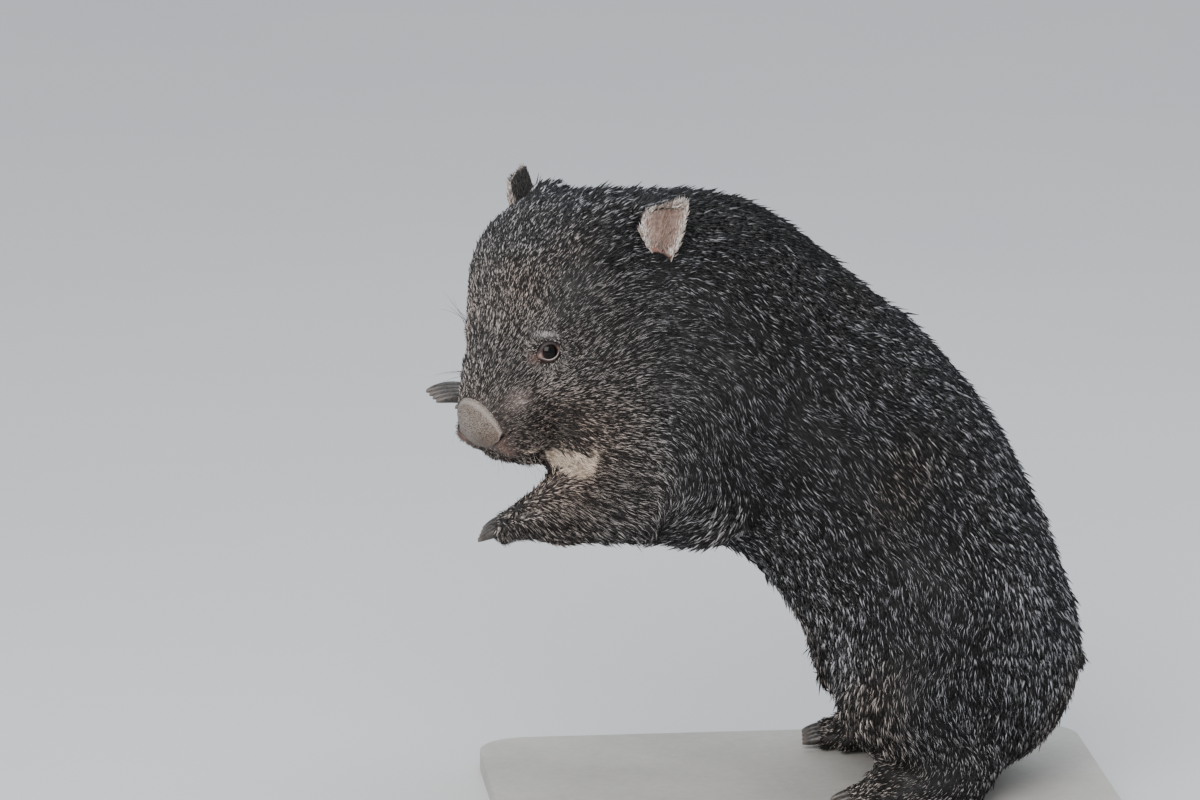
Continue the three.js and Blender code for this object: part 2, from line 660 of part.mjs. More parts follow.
// The origin goes to the middle of the underside
const extent = new THREE.Box3().setFromObject(animal, true);
const middle = extent.getCenter(new THREE.Vector3());
animal.position.set(-middle.x, -middle.y, -extent.min.z);
const root = new THREE.Group();
root.add(animal);
export default root;
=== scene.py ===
"""A common wombat standing on its hind feet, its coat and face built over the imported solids.

Sizes are millimetres in the wombat's own frame (+Z up, it faces -Y, its left side is +X).
They become metres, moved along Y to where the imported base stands, when a mesh is made.
"""
import math

import bmesh
import bpy
import numpy as np
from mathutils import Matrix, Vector


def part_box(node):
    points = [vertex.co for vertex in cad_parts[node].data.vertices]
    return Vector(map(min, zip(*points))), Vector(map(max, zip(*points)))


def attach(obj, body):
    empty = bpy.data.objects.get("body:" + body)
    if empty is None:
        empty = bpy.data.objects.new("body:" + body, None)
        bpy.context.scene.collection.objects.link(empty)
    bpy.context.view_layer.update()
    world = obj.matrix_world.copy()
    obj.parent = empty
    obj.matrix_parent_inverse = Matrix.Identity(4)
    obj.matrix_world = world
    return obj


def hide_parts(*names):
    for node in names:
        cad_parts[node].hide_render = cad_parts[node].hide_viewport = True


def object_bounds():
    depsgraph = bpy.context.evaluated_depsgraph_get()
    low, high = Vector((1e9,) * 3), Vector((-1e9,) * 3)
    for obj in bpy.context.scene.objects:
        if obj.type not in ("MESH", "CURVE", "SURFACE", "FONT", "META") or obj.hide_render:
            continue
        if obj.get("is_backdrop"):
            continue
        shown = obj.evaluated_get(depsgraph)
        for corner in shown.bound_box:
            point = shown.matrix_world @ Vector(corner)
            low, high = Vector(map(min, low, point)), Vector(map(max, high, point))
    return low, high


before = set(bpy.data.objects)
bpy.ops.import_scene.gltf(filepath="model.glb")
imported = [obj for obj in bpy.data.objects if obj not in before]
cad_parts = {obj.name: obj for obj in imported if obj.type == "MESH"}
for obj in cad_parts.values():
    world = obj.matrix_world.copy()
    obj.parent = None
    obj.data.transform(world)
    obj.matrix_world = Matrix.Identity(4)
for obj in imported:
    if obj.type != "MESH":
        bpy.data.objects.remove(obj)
cad_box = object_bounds()

# Frame: the base is 500 long and ends 412 behind the wombat's own origin
BASE = {"length": 500, "rear": 412}
base_low, base_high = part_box("stand_base")
base_middle = (base_low[1] + base_high[1]) / 2
SHIFT = np.array([0, base_middle - (BASE["rear"] - BASE["length"] / 2) / 1000, 0])
SOLE = 16.3
UP = np.array([0.0, 0.0, 1.0])


def metres(points):
    return np.asarray(points, float) / 1000 + SHIFT


def unit(v):
    v = np.asarray(v, float)
    return v / np.maximum(np.linalg.norm(v, axis=-1, keepdims=True), 1e-9)


def smooth(t):
    """0 below 0, 1 above 1, and an even turn between."""
    t = np.clip(t, 0, 1)
    return t * t * (3 - 2 * t)


def ramp(value, low, high):
    return smooth((value - low) / (high - low))


class Frame:
    """An origin and three axes; points are rows."""

    def __init__(self, origin, first, second, third=None):
        self.origin = np.asarray(origin, float)
        x = unit(first)
        y = unit(np.asarray(second, float) - x * np.dot(second, x))
        self.axes = np.array([x, y, np.cross(x, y) if third is None else third])

    def out(self, p):
        return np.asarray(p, float) @ self.axes + self.origin

    def into(self, p):
        return (np.asarray(p, float) - self.origin) @ self.axes.T


# Fields: roughly the distance from points to a form's surface, negative inside it
def ellipsoid(centre, radii):
    centre, radii = np.asarray(centre, float), np.asarray(radii, float)

    def field(p):
        q = (p - centre) / radii
        near = np.sqrt((q * q).sum(-1))
        q /= radii
        slope = np.sqrt((q * q).sum(-1))
        return near * (near - 1) / np.maximum(slope, 1e-6)

    return field


def limb(a, b, ra, rb, wide=1.0):
    """A round cone from a to b, widened across X by wide."""
    squeeze = np.array([1 / wide, 1, 1])
    start = np.asarray(a, float) * squeeze
    along = np.asarray(b, float) * squeeze - start
    span = along @ along

    def field(p):
        d = p * squeeze - start
        t = np.clip(d @ along / span, 0, 1)
        d -= t[..., None] * along
        return np.sqrt((d * d).sum(-1)) - (ra + (rb - ra) * t)

    return field


def seen_in(place, field):
    return lambda p: field(place.into(p))


def meet(a, b, soft):
    h = np.maximum(soft - np.abs(a - b), 0) / soft
    return np.minimum(a, b) - h * h * soft * 0.25


def fused(forms):
    """Forms is a list of (field, softness of its joint with the forms before it)."""

    def field(p):
        total = forms[0][0](p)
        for form, soft in forms[1:]:
            total = meet(total, form(p), soft)
        return total

    return field


def pair(make, soft):
    return [(make(1), soft), (make(-1), soft)]


def on_side(p, side):
    """A place given on the body's left, on either side."""
    return np.asarray(p, float) * [side, 1, 1]


def side_of(p, side):
    """The same for a place in the head frame, whose second axis points left."""
    return np.asarray(p, float) * [1, side, 1]


# Torso: round sections along the back, from the chest to the rump: y, z, half depth, half width
TRUNK = np.array([
    [50, 378, 116, 120],
    [94, 350, 124, 127],
    [143, 325, 121, 130],
    [190, 291, 116, 132],
    [232, 240, 113, 132],
    [268, 174, 107, 127],
    [289, 122, 103, 118],
], float)
TRUNK_RINGS = 19


def spline(points, t):
    """A curve through points at t from 0 to 1, with an even parameter from point to point."""
    points = np.asarray(points, float)
    ends = np.vstack([2 * points[0] - points[1], points, 2 * points[-1] - points[-2]])
    at = np.clip(np.asarray(t, float) * (len(points) - 1), 0, len(points) - 1 - 1e-9)
    i = at.astype(int)
    u = (at - i)[:, None]
    a, b, c, d = (ends[i + n] for n in range(4))
    square, cube = 2 * a - 5 * b + 4 * c - d, 3 * b - a - 3 * c + d
    return 0.5 * (2 * b + (c - a) * u + square * u**2 + cube * u**3)


def trunk_field():
    rings = spline(TRUNK, np.linspace(0, 1, TRUNK_RINGS))
    return fused([(ellipsoid([0, y, z], [w, r, r]), 8) for y, z, r, w in rings])


# Hind legs, the same on both sides: their places, and how thick they are there
HIND = {
    "hip": [62, 264, 172],
    "knee": [88, 234, 106],
    "ankle": [86, 266, 54],
    "heel": [86, 276, SOLE + 20],
    "ball": [92, 222, SOLE + 15],
}
HIND_SIZE = {"hip": 76, "knee": 43, "shank": 47, "ankle": 36, "heel": 25, "ball": 18,
             "foot": [26, 17, 31]}
TOES = 5
TOE_PITCH = 11.5


def toe_side(n):
    return (n - (TOES - 1) / 2) * TOE_PITCH


def hind_frame(side):
    return Frame(on_side(HIND["ball"], side), [0.12 * side, -1, 0], UP)


def hind_toe(n, side):
    inner = n == (TOES - 1 if side > 0 else 0)
    thick = 8 if inner else 9.5
    return {"root": [0, -2, toe_side(n)], "tip": [8 if inner else 24, -6, toe_side(n) * 1.08],
            "thick": thick, "inner": inner}


def toes_of(toe_at, side):
    toes = [toe_at(n, side) for n in range(TOES)]
    return [(limb(t["root"], t["tip"], t["thick"] + 1.5, t["thick"]), 4) for t in toes]


def hind_places(side):
    return {name: on_side(place, side) for name, place in HIND.items()}


def hind_forms(side):
    """A thigh and a shank."""
    at = hind_places(side)
    return (limb(at["hip"], at["knee"], HIND_SIZE["hip"], HIND_SIZE["knee"]),
            limb(at["knee"], at["ankle"], HIND_SIZE["shank"], HIND_SIZE["ankle"]))


def hind_field(side):
    at = hind_places(side)
    thigh, shank = hind_forms(side)
    foot = fused([(ellipsoid([-8, 0, 0], HIND_SIZE["foot"]), 1), *toes_of(hind_toe, side)])
    return fused([
        (thigh, 1),
        (shank, 30),
        (limb(at["heel"], at["ball"], HIND_SIZE["heel"], HIND_SIZE["ball"], 1.4), 20),
        (seen_in(hind_frame(side), foot), 10),
    ])


# Forelegs: the left one lies lower, the right one reaches higher
FORE = {
    1: {"shoulder": [78, 76, 330], "elbow": [96, 66, 274], "wrist": [76, -34, 259],
        "toes": [70, -66, 256]},
    -1: {"shoulder": [-78, 72, 338], "elbow": [-98, 40, 286], "wrist": [-88, -60, 316],
         "toes": [-84, -90, 323]},
}
FORE_SIZE = {"shoulder": 58, "elbow": 38, "forearm": 40, "wrist": 26, "paw": [32, 18, 29]}


def fore_frame(side):
    leg = FORE[side]
    return Frame(leg["toes"], np.subtract(leg["toes"], leg["wrist"]), UP)


def fore_toe(n, side):
    inner = n == (TOES - 1 if side > 0 else 0)
    return {"root": [-6, 0, toe_side(n)], "tip": [7 if inner else 15, -3, toe_side(n) * 1.12],
            "thick": 8 if inner else 9, "inner": inner}


def fore_forms(side):
    """An upper arm and a forearm."""
    leg = FORE[side]
    return (limb(leg["shoulder"], leg["elbow"], FORE_SIZE["shoulder"], FORE_SIZE["elbow"]),
            limb(leg["elbow"], leg["wrist"], FORE_SIZE["forearm"], FORE_SIZE["wrist"]))


def fore_field(side):
    upper, lower = fore_forms(side)
    paw = fused([(ellipsoid([-14, 0, 0], FORE_SIZE["paw"]), 1), *toes_of(fore_toe, side)])
    return fused([(upper, 1), (lower, 24), (seen_in(fore_frame(side), paw), 16)])


# Head frame: origin at the tip of the nose, axes towards the muzzle, the left and the crown
HEAD_YAW = math.radians(37)
HEAD_PITCH = math.radians(34.5)
NOSE_TIP = [85, -110, 325]
MUZZLE = [math.sin(HEAD_YAW) * math.cos(HEAD_PITCH), -math.cos(HEAD_YAW) * math.cos(HEAD_PITCH),
          -math.sin(HEAD_PITCH)]
HEAD = Frame(NOSE_TIP, MUZZLE, [math.cos(HEAD_YAW), math.sin(HEAD_YAW), 0])

EYE = {"centre": [-76.5, 39.2, 33.5], "radius": 10.5, "look": [0.36, 0.93, 0.31],
       "corner": [0.906, -0.418, 0.205]}
NOSE = {"centre": [-19, 0, 4], "radii": [17, 22, 23]}


def skull_field():
    return fused([
        (ellipsoid([-144, 0, 18], [74, 80, 74]), 1),
        (ellipsoid([-80, 0, 20], [60, 41, 38]), 22),
        (ellipsoid([-38, 0, -4], [34, 36, 31]), 20),
        *pair(lambda s: ellipsoid(side_of([-121, 44, -18], s), [47, 42, 44]), 22),
        *pair(lambda s: ellipsoid(side_of([-152, 42, 54], s), [44, 34, 35]), 24),
        *pair(lambda s: ellipsoid(side_of([-31, 21, -15], s), [24, 18, 19]), 14),
        *pair(lambda s: ellipsoid(side_of([-92, 36, 46], s), [22, 13, 8]), 12),
        *pair(lambda s: ellipsoid(side_of([-198, 64, 56], s), [16, 15, 16]), 14),
        (limb([-122, 0, -46], [-44, 0, -39], 36, 20, 1.2), 20),
        *pair(lambda s: limb(side_of([-16, 7, -28], s), side_of([-58, 27, -27], s), 7, 6), 7),
    ])


NECK = [HEAD.out([-150, 0, 12]), np.array([0.0, 68, 384])]
TAIL = {"root": [0, 370, 128], "tip": [0, 390, 112]}


def flesh_field():
    """The whole of the flesh in one form."""
    return fused([
        (trunk_field(), 1),
        (limb(*NECK, 84, 114), 50),
        (seen_in(HEAD, skull_field()), 30),
        (ellipsoid([12, 22, 298], [84, 60, 64]), 40),
        (hind_field(1), 40),
        (hind_field(-1), 40),
        (fore_field(1), 34),
        (fore_field(-1), 34),
        (limb(TAIL["root"], TAIL["tip"], 15, 9), 12),
    ])


# Surface nets: a closed mesh of quads round the inside of a field
COARSE = 4  # the field is first sampled at every fourth point, then fully only near its surface


def sampled(field, low, high, step):
    low = np.asarray(low, float)
    count = (np.ceil((np.asarray(high) - low) / step / COARSE).astype(int)) * COARSE + 1
    axes = [low[i] + step * np.arange(count[i]) for i in range(3)]
    rough_axes = [axis[::COARSE] for axis in axes]
    rough = np.stack(np.meshgrid(*rough_axes, indexing="ij"), -1)
    coarse = field(rough.reshape(-1, 3)).reshape(rough.shape[:3])
    near = [np.minimum(np.round(np.arange(n) / COARSE).astype(int), len(axis) - 1)
            for n, axis in zip(count, rough_axes)]
    values = coarse[np.ix_(*near)]
    i, j, k = np.nonzero(np.abs(values) < step * COARSE * 1.3)
    values[i, j, k] = field(np.stack([axes[0][i], axes[1][j], axes[2][k]], -1))
    for axis in range(3):
        for end in (0, -1):
            edge = [slice(None)] * 3
            edge[axis] = end
            values[tuple(edge)] = np.maximum(values[tuple(edge)], step)
    return values


class Grid:
    """A field's values on a grid, read between its points."""

    def __init__(self, field, low, high, step):
        self.low, self.step = np.asarray(low, float), step
        self.values = sampled(field, low, high, step)

    def at(self, p):
        q = (p - self.low) / self.step
        q = np.clip(q, 0, np.array(self.values.shape) - 1.001)
        i = q.astype(int)
        u = q - i
        total = 0
        for c in range(8):
            o = np.array([c & 1, (c >> 1) & 1, c >> 2])
            w = np.prod(np.where(o, u, 1 - u), axis=1)
            n = i + o
            total = total + w * self.values[n[:, 0], n[:, 1], n[:, 2]]
        return total

    def net(self):
        v = self.values
        cells = np.array(v.shape) - 1
        total = np.zeros((*cells, 3))
        hits = np.zeros(cells, int)

        def shifted(axis, offsets):
            start = [slice(o, cells[n] + o) for n, o in enumerate(offsets)]
            end = list(start)
            start[axis] = slice(0, cells[axis])
            end[axis] = slice(1, cells[axis] + 1)
            return v[tuple(start)], v[tuple(end)]

        for axis in range(3):
            b, c = [n for n in range(3) if n != axis]
            for ob in (0, 1):
                for oc in (0, 1):
                    offsets = [0, 0, 0]
                    offsets[b], offsets[c] = ob, oc
                    start, end = shifted(axis, offsets)
                    crossed = (start < 0) != (end < 0)
                    where = np.nonzero(crossed)
                    t = start[where] / (start[where] - end[where])
                    hits[where] += 1
                    total[(*where, axis)] += t
                    total[(*where, b)] += ob
                    total[(*where, c)] += oc
        index = np.full(cells, -1)
        full = np.nonzero(hits)
        index[full] = np.arange(len(full[0]))
        points = self.low + self.step * (np.stack(full, -1) + total[full] / hits[full][:, None])

        quads = []
        for axis in range(3):
            b, c = (axis + 1) % 3, (axis + 2) % 3
            inner = [slice(1, n) for n in cells]
            inner[axis] = slice(0, cells[axis])
            after = list(inner)
            after[axis] = slice(1, cells[axis] + 1)
            here, there = v[tuple(inner)] < 0, v[tuple(after)] < 0
            at = np.stack(np.nonzero(here != there), -1)
            flip = ~here[tuple(at.T)]
            at += [0 if n == axis else 1 for n in range(3)]

            def cell(db, dc):
                n = at.copy()
                n[:, b] -= db
                n[:, c] -= dc
                return index[n[:, 0], n[:, 1], n[:, 2]]

            ring = np.stack([cell(1, 1), cell(0, 1), cell(0, 0), cell(1, 0)], -1)
            ring[flip] = ring[flip][:, ::-1]
            quads.append(ring)
        return points, np.vstack(quads)


def edges_of(faces):
    around = np.stack([faces, np.roll(faces, -1, axis=1)], -1).reshape(-1, 2)
    return np.unique(np.sort(around, axis=1), axis=0)


def averaged(values, edges):
    """Each point's neighbours' mean."""
    count = np.bincount(edges.ravel(), minlength=len(values))
    out = np.empty_like(values)
    for n in range(values.shape[1]):
        out[:, n] = (np.bincount(edges[:, 0], values[edges[:, 1], n], len(values))
                     + np.bincount(edges[:, 1], values[edges[:, 0], n], len(values)))
    return out / np.maximum(count, 1)[:, None]


CORNERS = np.array([[1, 1, 1], [1, -1, -1], [-1, 1, -1], [-1, -1, 1]], float)


def slope(field, p, reach=0.4):
    return sum(corner * field(p + corner * reach)[:, None] for corner in CORNERS) / (4 * reach)


def onto(field, p, furthest):
    """Points moved along the slope of a field onto its surface, none further than asked."""
    steep = slope(field, p)
    move = field(p) / np.maximum((steep * steep).sum(-1), 0.25)
    return p - steep * np.clip(move, -furthest, furthest)[:, None]


def even(field, points, faces, rounds, furthest):
    edges = edges_of(faces)
    for _ in range(rounds):
        points = onto(field, (points + averaged(points, edges)) / 2, furthest)
    return points


def made(name, points, faces, material):
    """A mesh object from points in millimetres that rides on the wombat's one body."""
    mesh = bpy.data.meshes.new(name)
    mesh.from_pydata(metres(points).tolist(), [], [list(f) for f in faces])
    mesh.polygons.foreach_set("use_smooth", np.ones(len(mesh.polygons), bool))
    mesh.materials.append(material)
    mesh.update()
    piece = bpy.data.objects.new(name, mesh)
    bpy.context.scene.collection.objects.link(piece)
    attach(piece, "root")
    return piece


# The lie of the coat: from the nose back over the head, down the back and down the limbs
SPINE = np.array([
    HEAD.out([0, 0, 0]), HEAD.out([-75, 0, 12]), HEAD.out([-150, 0, 12]), [0, 70, 388],
    *[[0, y, z] for y, z, _, _ in TRUNK[1:]], [0, 296, 60], [0, 300, 10],
], float)
SPINE_STEPS = 48


def along_path(path, p, reach):
    """A path's direction at each point, blended over the path within reach."""
    line = spline(path, np.linspace(0, 1, SPINE_STEPS))
    ahead = unit(np.diff(line, axis=0))
    middle = (line[1:] + line[:-1]) / 2
    far = ((p[:, None, :] - middle[None]) ** 2).sum(-1)
    weight = np.exp(-(far - far.min(1, keepdims=True)) / reach**2)
    return unit(weight @ ahead)


def limb_paths():
    """Each limb's path from its root to past its claws, and its form."""
    paths = []
    for side in (1, -1):
        fore, hind = FORE[side], hind_places(side)
        fore_path = [fore[name] for name in ("shoulder", "elbow", "wrist", "toes")]
        hind_path = [hind[name] for name in ("hip", "knee", "ankle", "ball")]
        for path, claws, forms in ((fore_path, fore_frame(side).out([30, 0, 0]), fore_forms(side)),
                                   (hind_path, hind_frame(side).out([40, 0, 0]), hind_forms(side))):
            paths.append(([*path, claws], fused([(forms[0], 1), (forms[1], 20)])))
    return paths


LIMB_PATHS = limb_paths()
TRUNK_FIELD = trunk_field()


def waves(p, size, seed, count=7):
    """A smooth uneven value from about -1 to 1 that varies over size."""
    r = np.random.default_rng(seed)
    total = 0
    for _ in range(count):
        way = unit(r.normal(size=3)) * (2 * math.pi / size) * r.uniform(0.6, 1.5)
        total = total + np.sin(p @ way + r.uniform(0, 6.3))
    return total / math.sqrt(count) / 1.2


def lie(p, normal):
    """The way of the coat: back from the nose, away from the eyes, down the body and limbs."""
    body = along_path(SPINE, p, 60)
    body = body + np.array([0, 0, -0.25])
    h = HEAD.into(p)
    from_nose = unit(p - HEAD.out([6, 0, 6]))
    away = np.linalg.norm(h, axis=1)
    on_head = 1 - ramp(away, 90, 230)
    way = unit(body) * (1 - on_head)[:, None] + from_nose * on_head[:, None]
    near_trunk = TRUNK_FIELD(p)
    for path, form in LIMB_PATHS:
        share = ramp(near_trunk - form(p), -14, 26) * ramp(away, 120, 200)
        way = way * (1 - share)[:, None] + along_path(np.array(path), p, 25) * share[:, None]
    for side in (1, -1):
        look = unit(side_of(EYE["look"], side))
        from_eye = h - side_of(EYE["centre"], side)
        near = 1 - ramp(np.linalg.norm(from_eye, axis=1), EYE["radius"] + 1, EYE["radius"] + 13)
        outwards = unit(from_eye - look * (from_eye @ look)[:, None]) @ HEAD.axes
        way = way * (1 - near)[:, None] + outwards * near[:, None]
    way = way - normal * (way * normal).sum(-1, keepdims=True)
    return unit(way)


def turned(way, normal, angle):
    side = np.cross(normal, way)
    return way * np.cos(angle)[:, None] + side * np.sin(angle)[:, None]


def triangles_of(faces):
    return np.vstack([faces[:, [0, 1, 2]], faces[:, [0, 2, 3]]])


def normals_of(points, faces):
    tri = triangles_of(faces)
    a, b, c = (points[tri[:, n]] for n in range(3))
    flat = np.cross(b - a, c - a)
    out = np.zeros_like(points)
    for corner in range(3):
        for n in range(3):
            out[:, n] += np.bincount(tri[:, corner], flat[:, n], len(points))
    return unit(out)


def roots_on(points, faces, normals, corner_uv, density, count, seed):
    """Seeded random places on a mesh, closer together where density is greater."""
    r = np.random.default_rng(seed)
    tri = triangles_of(faces)
    a, b, c = (points[tri[:, n]] for n in range(3))
    area = np.linalg.norm(np.cross(b - a, c - a), axis=1) / 2
    share = area * density((a + b + c) / 3)
    pick = r.choice(len(tri), count, p=share / share.sum())
    u, v = np.sqrt(r.random(count)), r.random(count)
    weight = np.stack([1 - u, u * (1 - v), u * v], -1)[:, :, None]
    place = (points[tri[pick]] * weight).sum(1)
    normal = unit((normals[tri[pick]] * weight).sum(1))
    corners = np.vstack([corner_uv[:, [0, 1, 2]], corner_uv[:, [0, 2, 3]]])
    return place, normal, (corners[pick] * weight).sum(1)


PATCH = 0.003


def unwrapped(piece):
    """Unwraps a piece by its own shape and gives the place of each corner of each face."""
    bpy.context.view_layer.objects.active = piece
    piece.select_set(True)
    piece.data.uv_layers.new(name="OFBake")
    bpy.ops.object.mode_set(mode="EDIT")
    bpy.ops.mesh.select_all(action="SELECT")
    bpy.ops.uv.smart_project(angle_limit=math.radians(66), island_margin=0.002)
    bpy.ops.object.mode_set(mode="OBJECT")
    piece.select_set(False)
    mesh = piece.data
    flat = np.empty(len(mesh.loops) * 2, np.float32)
    mesh.uv_layers["OFBake"].data.foreach_get("uv", flat)
    start = np.empty(len(mesh.polygons), int)
    total = np.empty(len(mesh.polygons), int)
    mesh.polygons.foreach_get("loop_start", start)
    mesh.polygons.foreach_get("loop_total", total)
    corners = start[:, None] + np.minimum(np.arange(4), (total - 1)[:, None])
    return flat.reshape(-1, 2)[corners]


def tufts(name, roots, way, size, seed, material, marks):
    """Thin closed spikes of four points, widest at the middle, that bend over along the skin.

    roots is the place, the normal and the place on the unwrap of each tuft, and size its length,
    width, first and second lift (radians).
    """
    place, normal, uv = roots
    count = len(place)
    long, wide, rise, fall = (s[:, None] for s in size)
    side = np.cross(way, normal)
    middle = place + long * 0.5 * (way * np.cos(rise) + normal * np.sin(rise))
    tip = middle + long * 0.5 * (way * np.cos(fall) + normal * np.sin(fall))
    root = place - normal * 1.2
    points = np.stack([root, middle + side * wide / 2, middle - side * wide / 2, tip], 1)
    a, b, c = points[:, 1] - root, points[:, 2] - root, tip - root
    inside_out = (a * np.cross(b, c)).sum(-1) > 0
    faces = np.tile([[0, 1, 2], [3, 2, 1], [0, 2, 3], [0, 3, 1]], (count, 1, 1))
    faces[inside_out] = faces[inside_out][:, :, ::-1]
    faces = (np.arange(count)[:, None, None] * 4 + faces).reshape(-1, 3)
    mesh = bpy.data.meshes.new(name)
    mesh.vertices.add(count * 4)
    mesh.vertices.foreach_set("co", metres(points.reshape(-1, 3)).astype(np.float32).ravel())
    mesh.loops.add(len(faces) * 3)
    mesh.loops.foreach_set("vertex_index", faces.astype(np.int32).ravel())
    mesh.polygons.add(len(faces))
    mesh.polygons.foreach_set("loop_start", np.arange(0, len(faces) * 3, 3, dtype=np.int32))
    mesh.polygons.foreach_set("use_smooth", np.ones(len(faces), bool))
    mesh.update(calc_edges=True)
    spot = np.array([[0, -0.5], [-0.5, 0.1], [0.5, 0.1], [0, 0.5]]) * PATCH
    corner_uv = (uv[:, None] + spot[None]).reshape(-1, 2)[faces.ravel()]
    mesh.uv_layers.new(name="OFBake").data.foreach_set("uv", corner_uv.astype(np.float32).ravel())
    tone = np.random.default_rng(seed).random(count)
    values = {"along": np.tile([0, 0.5, 0.5, 1], count), "tone": np.repeat(tone, 4)}
    values.update({key: np.repeat(mark, 4) for key, mark in marks.items()})
    mesh.materials.append(material)
    piece = bpy.data.objects.new(name, mesh)
    give(piece, values)
    bpy.context.scene.collection.objects.link(piece)
    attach(piece, "root")


def within(p, centre, reach):
    """1 at a centre, fading away from it over a reach."""
    return np.exp(-(((p - centre) / reach) ** 2).sum(-1))


def folded(h):
    """Places in the head frame, all brought to its left side."""
    return np.stack([h[:, 0], np.abs(h[:, 1]), h[:, 2]], -1)


# Where the face is paler, where it is darker and where its skin shows: the middle, how far and how
# much; the paler places are frosted hair, the darker one under the jaw is painted shade
FROST_AND_SHADE = [([-66, 40, 14], 22, 1), ([-84, 38, 56], 15, 0.8), ([-30, 24, 20], 15, 0.7),
         ([-60, 38, -26], 22, -0.9)]
BARE = [([-8, 22.5, -12], 6.5, 1), ([-64.7, 39.5, 36.5], 4.2, 0.9)]
BLUSH = {"centre": [-34, 31, 15], "radii": [9, 10, 7], "much": 0.85}
BROW = {"centre": [-78.8, 40.4, 46.7], "along": [-0.61, 0.69, -0.4], "up": [-0.67, -0.18, 0.72],
        "long": 9, "high": 2.3, "reach": 40, "much": 0.7}
THROAT = {"centre": [79, -36, 303], "across": [0.55, 0.83, 0.05], "down": [0.13, -0.05, -1.0],
          "half": 22, "shift": 2, "above": 10, "below": 13, "behind": 25}
# Painted shade: fewer silver hairs on the top of the back, around this middle
NAPE_SHADE = {"centre": [0, 120, 470], "reach": 100}


def throat_mark(p):
    """The pale patch with a ragged edge under the chin."""
    from_centre = p - THROAT["centre"]
    across, down = from_centre @ unit(THROAT["across"]), from_centre @ unit(THROAT["down"])
    ahead = from_centre @ np.cross(THROAT["down"], THROAT["across"])
    ragged = 2.2 * waves(p, 9, 31) + 1.2 * waves(p, 4, 32)
    half = THROAT["half"] - 0.08 * np.clip(down, 0, 14) ** 2 + 0.5 * ragged
    ends = np.maximum(-THROAT["above"] - down - ragged, down - THROAT["below"])
    edge = np.maximum(np.abs(across - THROAT["shift"]) - half, ends)
    return (1 - ramp(edge, -1.0, 1.0)) * (ahead > -THROAT["behind"])


def brow_mark(h):
    """The pale line over each eye."""
    total = 0
    for side in (1, -1):
        from_brow = h - side_of(BROW["centre"], side)
        sideways = from_brow @ unit(side_of(BROW["along"], side)) / BROW["long"]
        high = from_brow @ unit(side_of(BROW["up"], side)) / BROW["high"]
        near = np.linalg.norm(from_brow, axis=1) < BROW["reach"]
        total = total + BROW["much"] * np.exp(-(sideways**2) - high**2) * near
    return np.clip(total, 0, 1)


def markings(p):
    """How far each marking covers each point, up to 1; below 0 two of them do the reverse: painted
    shade under the jaw, painted light low on the body.
    """
    h = HEAD.into(p)
    left = folded(h)
    away = np.linalg.norm(h, axis=1)
    face = 1 - ramp(away + 16 * waves(p, 70, 5), 105, 205)
    low = 1 - ramp(p[:, 2], 60, 230)
    frost_and_shade = sum(much * within(left, centre, reach) for centre, reach, much in FROST_AND_SHADE)
    painted_shading = within(p, NAPE_SHADE["centre"], NAPE_SHADE["reach"])
    return {
        "face": face,
        "muzzle": 1 - ramp(away + 5 * waves(p, 25, 6), 24, 50),
        "throat": throat_mark(p),
        "brow": brow_mark(h),
        "warm": ramp(waves(p, 110, 33) + 1.3 * low + 0.9 * face, 0.5, 1.9),
        "lip": sum(much * within(left, centre, reach) for centre, reach, much in BARE),
        "blush": BLUSH["much"] * within(left, BLUSH["centre"], BLUSH["radii"]),
        # painted shade on the top of the back, and below 0 painted light low on the body
        "painted_shading": painted_shading - 0.45 * (1 - ramp(p[:, 2], 140, 320)),
        # paler frosted hair, and below 0 painted shade under the jaw
        "frost_and_shade": np.clip(frost_and_shade, -1, 1),
        "ear": np.zeros(len(p)),
    }


COAT = {"long": 7.8, "longer": 4.2, "wide": 0.21, "wider": 0.14, "rise": 0.23}
CREST = {"centre": [-205, 0, 78], "reach": 58}
BREAST = {"centre": [86, -12, 275], "reach": 45}
MOUND = {"centre": [-202, 60, 66], "reach": 17, 1: 1, -1: 2}  # the long hair behind each ear


